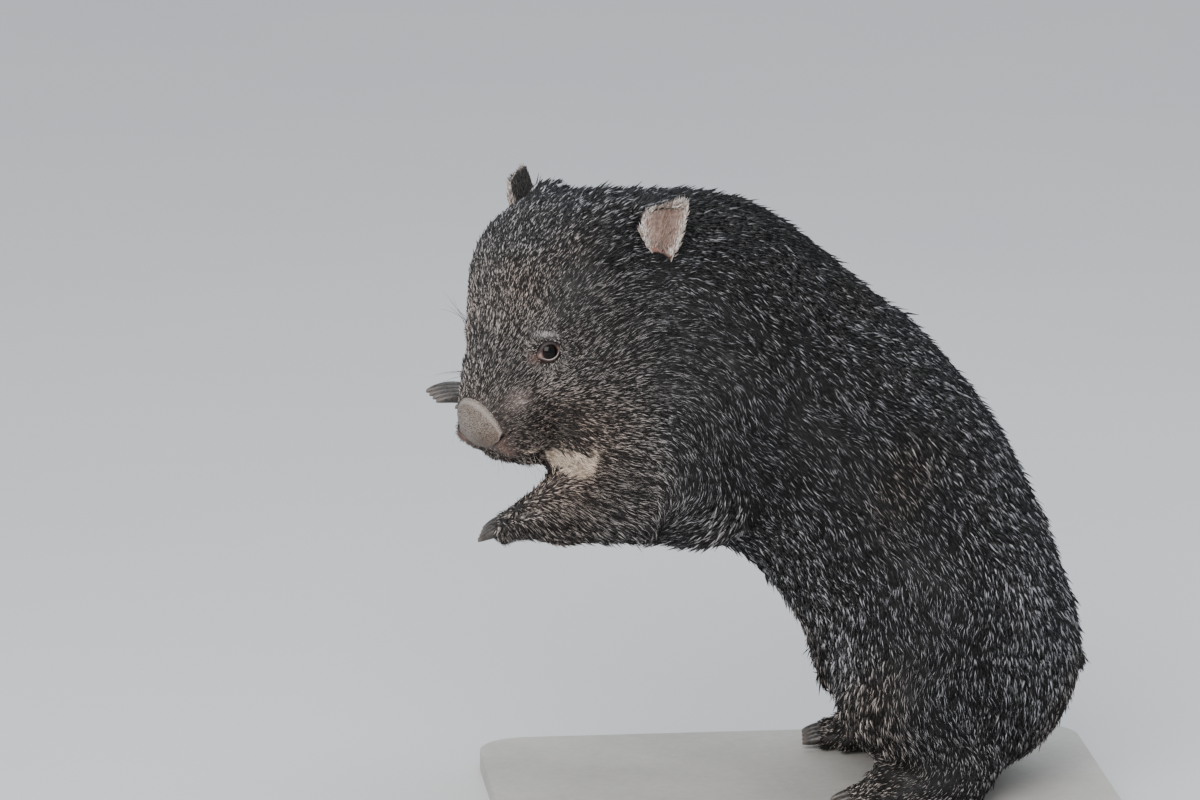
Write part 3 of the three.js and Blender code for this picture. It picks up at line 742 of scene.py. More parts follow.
def coat_size(p, seed):
    """The length, width, rise and fall of each tuft, by the region that it grows in."""
    r = np.random.default_rng(seed)
    h = HEAD.into(p)
    away = np.linalg.norm(h, axis=1)
    behind = ramp(away, 40, 215)
    crest = within(p, HEAD.out(CREST["centre"]), CREST["reach"])
    breast = within(p, BREAST["centre"], BREAST["reach"])
    foot = 1 - ramp(p[:, 2], 35, 90)
    paw = (1 - ramp(p[:, 1], -50, 10)) * (away > 95) * (1 - breast)
    small = np.maximum(foot, paw)
    long = COAT["long"] + COAT["longer"] * behind + 1.4 * waves(p, 60, 11) * behind + 4 * breast
    long = long * (1 - 0.45 * small) * (1 - 0.35 * (1 - ramp(away, 36, 80)))
    wide = (COAT["wide"] + COAT["wider"] * behind) * (1 - 0.25 * small)
    mound = 0
    for side in (1, -1):
        eye = np.linalg.norm(h - side_of(EYE["centre"], side), axis=1) - EYE["radius"]
        ear = np.linalg.norm(h - side_of(EAR[side]["root"], side), axis=1)
        long = long * (0.5 + 0.5 * ramp(eye, 1, 14)) * (0.8 + 0.2 * ramp(ear, 22, 42))
        mound = mound + MOUND[side] * within(h, side_of(MOUND["centre"], side), MOUND["reach"])
    long = long + 6 * mound

    guard = r.random(len(p)) < 0.06 + 0.14 * crest
    clump = 0.22 * waves(p, 13, 12) * behind
    rise = COAT["rise"] + (0.05 + 0.03 * behind) * r.normal(size=len(p))
    rise = rise + 0.16 * crest + 0.6 * mound
    rise = np.clip(rise + np.where(guard, 0.24, 0) + 0.35 * clump, 0.10, 1.0)
    fall = rise * np.where(guard, 0.8, 0.3) - 0.08 + 0.05 * r.normal(size=len(p))
    long = long * r.uniform(0.65, 1.2, len(p)) * (1 + 0.6 * clump) * np.where(guard, 1.1, 1)
    return long, wide * r.uniform(0.7, 1.25, len(p)) * np.where(guard, 0.75, 1), rise, fall


def in_ear(p, side):
    """Whether points lie in the hollow of an ear."""
    place, tall = ear_frame(side)
    q = place.into(p)
    t, v = q[:, 0] / tall, across_ear(side, q)
    return (t > 0.19) & (t < 1) & (np.abs(v) < 0.95) & (q[:, 1] > -9) & (q[:, 1] < 14)


def coat_density(p):
    """How close together the tufts grow: closest on the face, none on bare skin."""
    h = HEAD.into(p)
    dense = 1 + 2.6 * (1 - ramp(np.linalg.norm(h, axis=1), 70, 240))
    under_pad = (outline_distance(h[:, 1], h[:, 2], PAD_OUTLINE) < 0.2) & (h[:, 0] > -32)
    dense = np.where(under_pad | (p[:, 2] < SOLE + 3), 0, dense)
    for side in (1, -1):
        eye = np.linalg.norm(h - side_of(EYE["centre"], side), axis=1) - EYE["radius"]
        dense = dense * (1 + 2.5 * (1 - ramp(eye, 4, 10)))
        dense = np.where((eye < 0.5) | in_ear(p, side), 0, dense)
    return dense


# Eyes and lids
def around_eye(side):
    """A frame with its first axis along the eye's look and its second towards the inner corner."""
    return Frame(HEAD.out(side_of(EYE["centre"], side)), side_of(EYE["look"], side) @ HEAD.axes,
                 side_of(EYE["corner"], side) @ HEAD.axes)


EYE_ROWS, EYE_COLUMNS = 40, 48


def ring_faces(rows, columns, closed_rows=False):
    """Quads between rings of points, each ring closed."""
    faces = []
    for i in range(rows if closed_rows else rows - 1):
        for j in range(columns):
            k, n = (i + 1) % rows, (j + 1) % columns
            faces.append([i * columns + j, i * columns + n, k * columns + n, k * columns + j])
    return faces


def eyeball(side, look):
    """A ball with a slight bulge over the iris.

    Its points keep how far round from its front they are.
    """
    place = around_eye(side)
    turn = np.linspace(0.004, math.pi - 0.004, EYE_ROWS)
    angle = np.linspace(0, 2 * math.pi, EYE_COLUMNS, endpoint=False)
    radius = EYE["radius"] * (1 + 0.035 * np.exp(-(turn / 0.55) ** 4))
    t, a = np.meshgrid(turn, angle, indexing="ij")
    r = radius[:, None]
    local = np.stack([r * np.cos(t), r * np.sin(t) * np.cos(a), r * np.sin(t) * np.sin(a)], -1)
    points = place.out(local.reshape(-1, 3))
    faces = ring_faces(EYE_ROWS, EYE_COLUMNS)
    faces.append([*range(EYE_COLUMNS)][::-1])
    faces.append([(EYE_ROWS - 1) * EYE_COLUMNS + n for n in range(EYE_COLUMNS)])
    faces = [face[::-1] for face in faces] if side < 0 else faces
    piece = made("eyeball_" + NAME[side], points, faces, look)
    give(piece, {"front": t.ravel() / math.pi})
    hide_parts("eye_" + NAME[side])


LID = {"half": 6.7, "high": 5.9, "inner_corner": 0.42, "outer_corner": 0.25, "steps": 64}
# Across a lid from its edge outwards:
# degrees beyond the edge, height over the ball and share of bare skin
LID_PROFILE = [(1.5, 0.10, 0), (-0.5, 0.12, 1), (-1.2, 0.35, 1), (0.4, 0.65, 1), (3, 0.8, 0.9),
               (6.5, 0.85, 0.6), (11, 0.7, 0.2), (16, 0.4, 0), (24, 0.0, 0), (34, -1.8, 0),
               (34, -2.8, 0), (18, 0.06, 0)]
LID_MARGIN, LID_FOLD = range(1, 4), range(4, 8)  # rows of the profile


def lids(side, look):
    """Both lids as one closed ring that hugs the ball, thicker above."""
    place = around_eye(side)
    columns, count = LID["steps"], len(LID_PROFILE)
    a = np.linspace(0, 2 * math.pi, columns, endpoint=False)
    up = -side * np.sin(a)
    above, below = np.clip(up, 0, 1), np.clip(-up, 0, 1)
    inwards, outwards = np.clip(np.cos(a), 0, 1), np.clip(-np.cos(a), 0, 1)
    wide = LID["half"] * (1 + LID["inner_corner"] * inwards**15
                          + LID["outer_corner"] * outwards**17)
    high = np.where(up > 0, LID["high"], LID["high"] * 0.92)
    edge = np.arcsin(np.clip(np.hypot(wide * np.cos(a), high * np.sin(a)) / EYE["radius"], 0, 0.97))
    b = np.arctan2(high * np.sin(a), wide * np.cos(a))
    rows = []
    for n, (beyond, height, _) in enumerate(LID_PROFILE):
        t = edge + np.radians(beyond * (1 + 0.35 * above + 0.25 * np.cos(a) ** 4))
        thicker = 1 + 0.6 * above if n in LID_FOLD else np.ones(columns)
        r = EYE["radius"] * 1.02 + height * thicker
        way = np.stack([np.cos(t), np.sin(t) * np.cos(b), np.sin(t) * np.sin(b)], -1)
        rows.append(place.out(way * r[:, None]))
    faces = ring_faces(count, columns, closed_rows=True)
    faces = faces if side < 0 else [face[::-1] for face in faces]
    piece = made("lids_" + NAME[side], np.vstack(rows), faces, look)
    give(piece, {
        "bare": np.repeat([float(bare) for _, _, bare in LID_PROFILE], columns),
        "inner": np.tile(0.9 * inwards**16 + 0.6 * outwards**24, count),
        "margin": np.repeat([float(n in LID_MARGIN) for n in range(count)], columns),
        "below": np.tile(below, count),
    })
    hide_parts("eyelids_" + NAME[side])


NAME = {1: "left", -1: "right"}


def give(piece, values):
    """Named values at each point of a piece, for its material to read."""
    for key, value in values.items():
        data = piece.data.attributes.new(key, "FLOAT", "POINT").data
        data.foreach_set("value", np.asarray(value, np.float32))


# The bare pad of the nose, seen from the front: left and up from the tip, its left half
PAD_OUTLINE = [(0, 27.5), (4.5, 27), (9, 25.4), (14, 22), (18.5, 16.5), (22, 9), (24.2, 1),
               (23.2, -3.6), (17, -8), (11, -11), (5, -13.2), (0, -13.8)]
PAD_HIGH, PAD_REACH = 0.9, 34
SLIT = [[-5, 13, -11], [-7, 18.5, -8], [-10.5, 24.7, -3.6], [-15, 29.5, -1.4], [-19.5, 33, -2.4]]
SLIT_WIDTH = [0.9, 1.7, 2.3, 1.5, 0.7]


def outline_distance(l, u, outline):
    """How far points lie outside a closed outline, negative inside."""
    half = np.array(outline, float)
    ring = np.vstack([half, (half * [-1, 1])[::-1][1:-1]])
    after = np.roll(ring, -1, axis=0)
    p = np.stack([l, u], -1)[:, None]
    along = after - ring
    t = np.clip(((p - ring) * along).sum(-1) / (along * along).sum(-1), 0, 1)
    far = np.linalg.norm(p - ring - t[..., None] * along, axis=-1).min(1)
    rises = (ring[:, 1] > p[..., 1]) != (after[:, 1] > p[..., 1])
    lean = along[:, 0] / np.where(along[:, 1] == 0, 1e-9, along[:, 1])
    cross = ring[:, 0] + (p[..., 1] - ring[:, 1]) * lean
    inside = (rises & (p[..., 0] < cross)).sum(1) % 2 == 1
    return np.where(inside, -far, far)


def chain(points, radii, soft=1.5):
    """Round cones from point to point."""
    links = zip(points, points[1:], radii, radii[1:])
    return fused([(limb(a, b, ra, rb), soft) for a, b, ra, rb in links])


def nostrils():
    """The hollow of each nostril, a comma from the pad's lower corner out over the wing."""
    deeper = [[-8, -3, 1], [-7, -4, 0], [-6, -5, 0], [-5, -5, 0], [-2, -3, 0]]
    out = []
    for side in (1, -1):
        path = [side_of(p, side) for p in SLIT]
        inward = [side_of(np.add(p, d), side) for p, d in zip(SLIT, deeper)]
        out.append((chain(path, SLIT_WIDTH), 1.2))
        out.append((chain(inward, [w * 1.25 for w in SLIT_WIDTH]), 1.2))
    return out


MOUTH_LINE = [[-8, 0, -26.5], [-14, 9, -29], [-24, 17, -31], [-38, 23, -31], [-52, 29, -29],
              [-64, 34, -27]]
MOUTH_WIDTH = [1.3, 1.8, 2.2, 2.3, 2.0, 1.0]
CLEFT, CLEFT_WIDTH = [[1, 0, -12], [0, 0, -19], [-6, 0, -27]], [1.0, 1.2, 1.4]


def face_hollows():
    """The hollows of the nostrils, the cleft under the nose and the line of the mouth."""
    mouth = [(chain([side_of(p, side) for p in MOUTH_LINE], MOUTH_WIDTH), 3) for side in (1, -1)]
    return [*nostrils(), (chain(CLEFT, CLEFT_WIDTH), 2), *mouth]


def muzzle_forms():
    """The nose and the folds beside the nostrils, each with the softness of its joint."""
    wings = pair(lambda s: ellipsoid(side_of([-15.5, 24.5, -9.5], s), [9, 7.5, 7]), 5)
    return [(ellipsoid(NOSE["centre"], NOSE["radii"]), 6), *wings]


# Ears: a cupped leaf with a straight rear edge and a round front one; the right one stands higher
EAR = {"front": 29.7, "rear": 3.6, "wall": 2.2, "lowest": -0.35, "highest": 0.985,
       1: {"root": [-173.4, 98.7, 47.4], "tip": [-213, 104.4, 74.9], "look": [0.51, 0.6, 0.62],
           "hood": 7, "belly": 1.27},
       -1: {"root": [-186.6, 65.3, 46.7], "tip": [-216.3, 84.6, 78.6], "look": [0.43, 0.88, -0.14],
            "hood": 11, "belly": 0.8}}
EAR_RINGS, EAR_ACROSS = 26, 22


def ear_frame(side):
    own = EAR[side]
    along = np.subtract(own["tip"], own["root"])
    return Frame(HEAD.out(side_of(own["root"], side)), side_of(along, side) @ HEAD.axes,
                 side_of(own["look"], side) @ HEAD.axes), np.linalg.norm(along)


def ear_widths(side, t):
    """An ear's middle and half width at t from root to tip; its rear edge is nearly straight."""
    t = np.clip(t, 0.06, 0.999)
    front = EAR["front"] * np.sin(math.pi * t ** EAR[side]["belly"]) ** 0.48
    rear = EAR["rear"] * np.sin(math.pi * t**0.8) ** 0.5
    return (rear - front) / 2, (rear + front) / 2


def across_ear(side, q):
    """Where points in an ear's frame lie from its front edge, -1, to its rear edge, 1."""
    middle, half = ear_widths(side, q[:, 0] / ear_frame(side)[1])
    return (q[:, 2] * side - middle) / half


def ear_back(side, t, v):
    return 3 - EAR[side]["hood"] * (1 - 0.55 * t) * (1 - np.minimum(np.abs(v), 1) ** 2.2)


def ear_leaf(side, t, v, inside):
    """Points on an ear at t from root to tip and v from its front edge, -1, to its rear edge, 1."""
    place, tall = ear_frame(side)
    middle, half = ear_widths(side, t)
    wall = EAR["wall"] * (1 - np.abs(v) ** 4 * 0.75) * (1 - 0.4 * t)
    bend = 2.5 * np.sin(math.pi * np.clip(t, 0, 1))
    y = ear_back(side, t, v) + np.where(inside, wall / 2, -wall / 2) - bend
    y -= 60 * np.clip(0.2 - t, 0, 1)  # its foot goes under the coat
    x = t * tall * (1 - 0.05 * v * v)
    return place.out(np.stack([x, y, side * (middle + v * half)], -1))


def ear_piece(side, look, fur):
    """A closed shell, the inner face from front to rear and the outer face back, with its hair."""
    v_in = np.sin(np.linspace(-math.pi / 2, math.pi / 2, EAR_ACROSS))
    v = np.concatenate([v_in, v_in[::-1]])
    inside = np.arange(2 * EAR_ACROSS) < EAR_ACROSS
    ts = np.linspace(EAR["lowest"], EAR["highest"], EAR_RINGS)
    points = np.vstack([ear_leaf(side, np.full(len(v), t), v, inside) for t in ts])
    faces = ring_faces(EAR_RINGS, len(v))
    around = len(v)
    last = (EAR_RINGS - 1) * around
    for j in range(EAR_ACROSS - 1):
        faces.append([j + 1, j, around - 1 - j, around - 2 - j])
        faces.append([last + j, last + j + 1, last + around - 2 - j, last + around - 1 - j])
    faces = np.array(faces)
    a, b, c = (points[triangles_of(faces)[:, n]] for n in range(3))
    faces = faces[:, ::-1] if (a * np.cross(b, c)).sum() < 0 else faces
    piece = made("ear_skin_" + NAME[side], points, faces.tolist(), look)
    give(piece, {"inner": np.tile(inside * 1.0, EAR_RINGS), "edge": np.tile(np.abs(v), EAR_RINGS)})
    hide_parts("ear_" + NAME[side])

    uv, normals = unwrapped(piece), normals_of(points, faces)
    row, column = np.divmod(np.arange(last), around)
    grows = ts[row] > 0.1
    for part, inner in (("inner", True), ("outer", False)):
        chosen = grows & ((column < EAR_ACROSS - 1) == inner)
        ear_hair(side, part, (points, faces[:last][chosen], normals, uv[:last][chosen]), fur)


MARKS = ("painted_shading", "face", "muzzle", "throat", "brow", "warm", "ear", "lip", "blush", "frost_and_shade")
EAR_HAIR = {
    "inner": {"count": 1500, "long": 11, "shorter": 5, "wide": 0.34, "rise": 0.16, "seed": 500},
    "outer": {"count": 1800, "long": 7.5, "shorter": 0, "wide": 0.42, "rise": 0.3, "seed": 501},
}


def ear_hair(side, part, shell, fur):
    """The hair on one face of an ear, palest and closest at its edges."""
    own, inner = EAR_HAIR[part], part == "inner"
    count, seed = own["count"], own["seed"] + 10 * side
    place, tall = ear_frame(side)

    def across(p):
        return across_ear(side, place.into(p))

    def edge_of(p):
        return np.clip(np.abs(across(p)), 0, 1)

    def end_of(p):
        return ramp(place.into(p)[:, 0] / tall, 0.75, 0.95)

    def density(p):
        return 0.8 + 2.2 * edge_of(p) ** 3 + 3 * end_of(p) if inner else np.ones(len(p))

    roots = roots_on(*shell, density, count, seed)
    spot, normal, _ = roots
    edge, t = edge_of(spot), place.into(spot)[:, 0] / tall
    r = np.random.default_rng(seed + 5)
    way = np.tile(place.axes[0], (count, 1)) + 0.2 * r.normal(size=(count, 3))
    way = unit(way - normal * (way * normal).sum(-1, keepdims=True))
    long = (own["long"] - own["shorter"] * edge) * r.uniform(0.6, 1.2, count)
    long = long * (1 - 0.45 * end_of(spot)) if side < 0 else long
    wide = own["wide"] * r.uniform(0.7, 1.2, count)
    rise = own["rise"] + 0.08 * r.normal(size=count)
    marks = {key: np.zeros(count) for key in MARKS}
    if inner:
        pale = np.maximum(edge, ramp(t, 0.6, 1))
        tone = r.uniform(0.1, 1, count) * (0.25 + 0.75 * pale**2)
        marks.update({"ear": np.ones(count), "tone": tone})
    else:
        end = np.maximum(edge, t) if side > 0 else -across(spot)
        tone = 0.8 * r.random(count)
        marks.update({"ear": ramp(end, 0.82, 0.95), "warm": np.ones(count), "tone": tone})
    size = (long, wide, rise, rise * 0.3 - 0.05)
    tufts("ear_hair_%s_%s" % (part, NAME[side]), roots, way, size, seed, fur, marks)


def outward(piece):
    """Turns a closed piece's faces outwards."""
    mesh = bmesh.new()
    mesh.from_mesh(piece.data)
    bmesh.ops.remove_doubles(mesh, verts=mesh.verts, dist=1e-6)
    bmesh.ops.recalc_face_normals(mesh, faces=mesh.faces)
    mesh.to_mesh(piece.data)
    mesh.free()


# Claws: blunt curved cones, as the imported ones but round
CLAW_RINGS, CLAW_AROUND = 9, 14


def claw_mesh(place, root, long, thick, droop):
    rings = []
    for i in range(CLAW_RINGS):
        t = 1 - (1 - i / (CLAW_RINGS - 1)) ** 1.6
        a = np.linspace(0, 2 * math.pi, CLAW_AROUND, endpoint=False)
        wide = thick * math.sqrt(max(1 - 0.93 * t * t, 0.02))
        up = np.cos(a) * wide * 1.15 - droop * t * t
        ahead = np.full_like(a, long * t)
        rings.append(place.out(np.stack([ahead, up, np.sin(a) * wide], -1) + root))
    faces = ring_faces(CLAW_RINGS, CLAW_AROUND)
    faces.append(list(range(CLAW_AROUND)))
    faces.append([(CLAW_RINGS - 1) * CLAW_AROUND + n for n in range(CLAW_AROUND)])
    along = np.repeat(np.linspace(0, 1, CLAW_RINGS), CLAW_AROUND)
    return np.vstack(rings), faces, along


def claw_piece(foot, side, place, toe_at, size, look):
    points, faces, along, nodes = [], [], [], []
    for n in range(TOES):
        toe = toe_at(n, side)
        if toe["inner"] and foot == "hind":
            continue
        long = size["long"] * (0.8 if toe["inner"] else 1)
        root = np.add(toe["tip"], [-4, size["lift"], 0])
        p, f, a = claw_mesh(place, root, long, size["thick"], size["droop"])
        start = sum(len(q) for q in points)
        points.append(p)
        faces += [[v + start for v in face] for face in f]
        along.append(a)
        nodes.append("claw_%s_%s_%d" % (foot, NAME[side], n + 1))
    piece = made("claws_%s_%s" % (foot, NAME[side]), np.vstack(points), faces, look)
    give(piece, {"along": np.concatenate(along)})
    outward(piece)
    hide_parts(*nodes)


# Whiskers in the head frame: where they leave the face and where they point,
# then how many they are and how spread, long and pale
WHISKERS = [
    ((-30, 28, -12), (-0.15, 0.75, -0.6), 8, 7, 50, 0.15),
    ((-46, 34, -18), (-0.3, 0.7, -0.65), 9, 8, 58, 0.2),
    ((-28, 14, -30), (0.1, 0.35, -1.0), 9, 6, 24, 1.0),
    ((-62, 40, -30), (-0.65, 0.5, -0.7), 7, 8, 42, 0.5),
    ((-70, 38, 52), (-0.2, 0.5, 0.9), 6, 5, 36, 0.0),
    ((-48, 32, 14), (0.3, 0.8, 0.35), 6, 8, 32, 0.0),
]
WHISKER = {"thick": 0.21, "rows": 9, "around": 3}


def whisker(start, ahead, length, r):
    """One hair that sags and bends from where it starts on the skin."""
    sag = r.uniform(0.05, 0.3) * length
    bend = np.cross(ahead, r.normal(size=3)) * 0.06 * length
    s = np.linspace(-0.06, 1, WHISKER["rows"])[:, None]
    line = start + ahead * s * length - UP * sag * s**2 + bend * s**2
    thick = WHISKER["thick"] * (1 - 0.8 * np.clip(s, 0, 1))
    side_way = unit(np.cross(ahead, UP))
    a = np.linspace(0, 2 * math.pi, WHISKER["around"], endpoint=False)[:, None]
    ring = np.cos(a) * side_way + np.sin(a) * np.cross(side_way, ahead)
    return (line[:, None] + thick[:, None] * ring).reshape(-1, 3)


def whiskers(look):
    r = np.random.default_rng(61)
    points, faces, pale = [], [], []
    rows, around = WHISKER["rows"], WHISKER["around"]
    for side in (1, -1):
        for bed, way, count, spread, long, light in WHISKERS:
            for _ in range(count):
                start = HEAD.out(side_of(np.add(bed, r.normal(size=3) * spread / 2), side))[None]
                start = onto(SKIN, onto(SKIN, start, 30), 30)[0]
                ahead = unit(side_of(np.add(way, r.normal(size=3) * 0.22), side)) @ HEAD.axes
                base = len(points) * rows * around
                points.append(whisker(start, ahead, long * r.uniform(0.55, 1.1), r))
                faces += [[v + base for v in face] for face in ring_faces(rows, around)]
                end = base + (rows - 1) * around
                faces += [[base + 2, base + 1, base], [end, end + 1, end + 2]]
                pale.append(np.full(rows * around, min(1, light * r.uniform(0.6, 1.4))))
    piece = made("whiskers", np.vstack(points), faces, look)
    give(piece, {"pale": np.concatenate(pale)})
    outward(piece)


# Materials
BLACK, WHITE = (0, 0, 0), (1, 1, 1)


def material(name, rough, gloss=0.5):
    mat = bpy.data.materials.new(name)
    mat.use_nodes = True
    shader = mat.node_tree.nodes["Principled BSDF"]
    shader.inputs["Roughness"].default_value = rough
    shader.inputs["Specular IOR Level"].default_value = gloss
    return mat, mat.node_tree, shader


def coloured(mat, colour):
    tree = mat.node_tree
    tree.links.new(colour, tree.nodes["Principled BSDF"].inputs["Base Color"])
    return mat


def node(tree, kind, inputs=(), **settings):
    made_node = tree.nodes.new(kind)
    for key, value in settings.items():
        setattr(made_node, key, value)
    for key, value in dict(inputs).items():
        socket = made_node.inputs[key]
        if isinstance(value, bpy.types.NodeSocket):
            tree.links.new(value, socket)
        else:
            socket.default_value = value
    return made_node


def attribute(tree, name):
    return node(tree, "ShaderNodeAttribute", attribute_name=name).outputs["Fac"]


def colour_ramp(tree, factor, stops):
    ramp_node = node(tree, "ShaderNodeValToRGB", {"Fac": factor})
    elements = ramp_node.color_ramp.elements
    while len(elements) < len(stops):
        elements.new(0.5)
    for element, (at, colour) in zip(elements, stops):
        element.position = at
        element.color = (*colour, 1)
    return ramp_node.outputs["Color"]


def mask(tree, factor, low, high):
    """Black up to low and white from high on."""
    return colour_ramp(tree, factor, [(low, BLACK), (high, WHITE)])


def grained(tree, grain, dark, pale):
    """From dark to pale over the middle of a noise."""
    return colour_ramp(tree, grain, [(0.3, dark), (0.7, pale)])


def mixed(tree, factor, a, b):
    mix = node(tree, "ShaderNodeMix", data_type="RGBA")
    for index, value in ((0, factor), (6, a), (7, b)):
        socket = mix.inputs[index]
        if isinstance(value, bpy.types.NodeSocket):
            tree.links.new(value, socket)
        elif index:
            socket.default_value = (*value, 1)
        else:
            socket.default_value = value
    return mix.outputs[2]


def maths(tree, operation, a, b, c=0.0):
    out = node(tree, "ShaderNodeMath", operation=operation)
    for index, value in enumerate((a, b, c)):
        if isinstance(value, bpy.types.NodeSocket):
            tree.links.new(value, out.inputs[index])
        else:
            out.inputs[index].default_value = value
    return out.outputs[0]


def tinted(tree, colour, factor, cool, warm):
    """A colour times a tint that goes from cool to warm."""
    mix = node(tree, "ShaderNodeMix", data_type="RGBA", blend_type="MULTIPLY")
    mix.inputs[0].default_value = 1
    tree.links.new(colour, mix.inputs[6])
    tree.links.new(mixed(tree, factor, cool, warm), mix.inputs[7])
    return mix.outputs[2]


def grey(value):
    return (value, value, value)


# Colours of the hair, from its root to its tip or from its darkest hairs to its palest
HAIR = {
    "dark": [(0.0, grey(0.003)), (0.5, grey(0.008)), (1.0, grey(0.024))],
    "pale": [(0.0, grey(0.006)), (0.3, grey(0.03)), (0.5, grey(0.34)), (1.0, grey(0.7))],
    "face_dark": [(0.0, (0.004, 0.0035, 0.003)), (0.5, (0.011, 0.01, 0.01)),
                  (1.0, (0.045, 0.041, 0.04))],
    "face_pale": [(0.0, (0.012, 0.011, 0.011)), (0.25, (0.04, 0.036, 0.035)),
                  (0.5, (0.36, 0.335, 0.32)), (1.0, (0.72, 0.69, 0.67))],
    "muzzle": [(0.0, (0.008, 0.006, 0.005)), (0.6, (0.05, 0.038, 0.033)),
               (1.0, (0.42, 0.36, 0.33))],
    "blush": [(0.0, (0.07, 0.05, 0.044)), (0.5, (0.28, 0.22, 0.2)), (1.0, (0.68, 0.6, 0.57))],
    "throat": [(0.0, (0.22, 0.165, 0.12)), (0.6, (0.56, 0.46, 0.37)), (1.0, (0.84, 0.73, 0.62))],
    "ear": [(0.0, (0.13, 0.085, 0.065)), (0.4, (0.36, 0.29, 0.25)), (1.0, (0.86, 0.83, 0.81))],
}
LIP_SKIN, BROW_HAIR = (0.19, 0.125, 0.105), (0.6, 0.57, 0.57)
SILVER = {"body": (0.76, 1.0), "face": (0.68, 0.92), "shift": 0.16}  # the tones that turn silver
BODY_TINTS = ((0.98, 0.98, 1.05), (1.12, 0.98, 0.9))  # cool and warm
FACE_TINTS = ((1.02, 0.99, 0.98), (1.16, 0.97, 0.87))


def coat_material():
    """Dark hairs and silver ones by their tone, then each marking in turn."""
    mat, tree, _ = material("coat_fur", 0.5, 0.3)
    along, tone, warm = (attribute(tree, name) for name in ("along", "tone", "warm"))

    def hair(name, factor):
        return colour_ramp(tree, factor, HAIR[name])

    def silvered(mark, shift, part, dark, pale, cool_tint, warm_tint):
        shifted = maths(tree, "MULTIPLY_ADD", attribute(tree, mark), shift, tone)
        silver = mask(tree, shifted, *SILVER[part])
        colour = mixed(tree, silver, hair(dark, along), hair(pale, along))
        return tinted(tree, colour, warm, cool_tint, warm_tint)

    # Fewer silver hairs on the top of the back paint shade there, and more low on the body paint
    # light; fewer on the face under the jaw paint shade
    body = silvered("painted_shading", -SILVER["shift"], "body", "dark", "pale", *BODY_TINTS)
    face = silvered("frost_and_shade", SILVER["shift"], "face", "face_dark", "face_pale", *FACE_TINTS)
    colour = mixed(tree, attribute(tree, "face"), body, face)
    for name in ("muzzle", "blush"):
        colour = mixed(tree, attribute(tree, name), colour, hair(name, tone))
    colour = mixed(tree, attribute(tree, "lip"), colour, LIP_SKIN)
    brow = maths(tree, "MULTIPLY", attribute(tree, "brow"), mask(tree, along, 0.3, 0.6))
    colour = mixed(tree, brow, colour, BROW_HAIR)
    for name in ("throat", "ear"):
        colour = mixed(tree, attribute(tree, name), colour, hair(name, tone))
    return coloured(mat, colour)


# The eye's colour by how far round from its front a point is: pupil, iris, its dark rim, white
EYE_COLOURS = [
    (0.0, (0.001, 0.001, 0.001)), (0.115, (0.0015, 0.001, 0.001)), (0.15, (0.006, 0.003, 0.002)),
    (0.18, (0.003, 0.002, 0.002)), (0.195, (0.03, 0.02, 0.018)), (0.225, (0.1, 0.07, 0.065)),
    (0.26, (0.3, 0.2, 0.17)),
]


def eye_material():
    mat, tree, _ = material("eye_wet", 0.04, 0.16)
    return coloured(mat, colour_ramp(tree, attribute(tree, "front"), EYE_COLOURS))


def noise(tree, scale, detail=3.0, rough=0.55):
    place = node(tree, "ShaderNodeTexCoord").outputs["Object"]
    settings = {"Vector": place, "Scale": scale, "Detail": detail, "Roughness": rough}
    return node(tree, "ShaderNodeTexNoise", settings)


def bump(tree, shader, height, strength, distance):
    inputs = {"Height": height, "Strength": strength, "Distance": distance}
    out = node(tree, "ShaderNodeBump", inputs)
    tree.links.new(out.outputs["Normal"], shader.inputs["Normal"])


def lid_material():
    mat, tree, shader = material("lid_skin", 0.55, 0.25)
    grain = noise(tree, 900).outputs["Fac"]
    below = attribute(tree, "below")
    # Painted shade: where the lids' ring is not bare it is near black above the eye, in the socket
    # crease, and brown below
    crease_shade = grained(tree, grain, (0.008, 0.006, 0.006), (0.02, 0.015, 0.014))
    brown = grained(tree, grain, (0.04, 0.028, 0.024), (0.085, 0.06, 0.052))
    mauve = grained(tree, grain, (0.022, 0.016, 0.016), (0.05, 0.038, 0.038))
    flesh = grained(tree, grain, (0.15, 0.098, 0.085), (0.24, 0.17, 0.15))
    margin = maths(tree, "MULTIPLY", below, attribute(tree, "margin"))
    bare = mixed(tree, margin, mauve, (0.36, 0.3, 0.29))
    colour = mixed(tree, attribute(tree, "bare"), mixed(tree, below, crease_shade, brown), bare)
    bump(tree, shader, grain, 0.4, 0.0004)
    return coloured(mat, mixed(tree, attribute(tree, "inner"), colour, flesh))


def pad_material():
    """Grained leather: each cell is pale in the middle and dark at its seams."""
    mat, tree, shader = material("nose_leather", 0.5, 0.4)
    place = node(tree, "ShaderNodeTexCoord").outputs["Object"]
    cells = node(tree, "ShaderNodeTexVoronoi", {"Vector": place, "Scale": 850.0}, feature="F1")
    seams = cells.outputs["Distance"]
    grain = colour_ramp(tree, seams, [(0.0, (0.36, 0.31, 0.27)), (0.45, (0.17, 0.14, 0.12)),
                                      (0.9, (0.04, 0.03, 0.025))])
    blotches = mask(tree, noise(tree, 90, 5).outputs["Fac"], 0.38, 0.62)
    blotches = maths(tree, "MULTIPLY", blotches, 0.5)
    worn_and_shaded = mixed(tree, blotches, grain, (0.1, 0.074, 0.058))
    # Painted light and shade: the pad is lighter and greyer towards its top, darker and browner
    # towards its bottom
    worn_and_shaded = tinted(tree, worn_and_shaded, attribute(tree, "low"), (1.22, 1.24, 1.25), (0.7, 0.57, 0.47))
    rim = mixed(tree, attribute(tree, "rim"), worn_and_shaded, (0.36, 0.32, 0.285))
    bump(tree, shader, maths(tree, "MULTIPLY", seams, -1.0), 1.0, 0.0012)
    # Painted shade: near black inside the nostrils
    return coloured(mat, mixed(tree, attribute(tree, "deep"), rim, (0.02, 0.012, 0.01)))


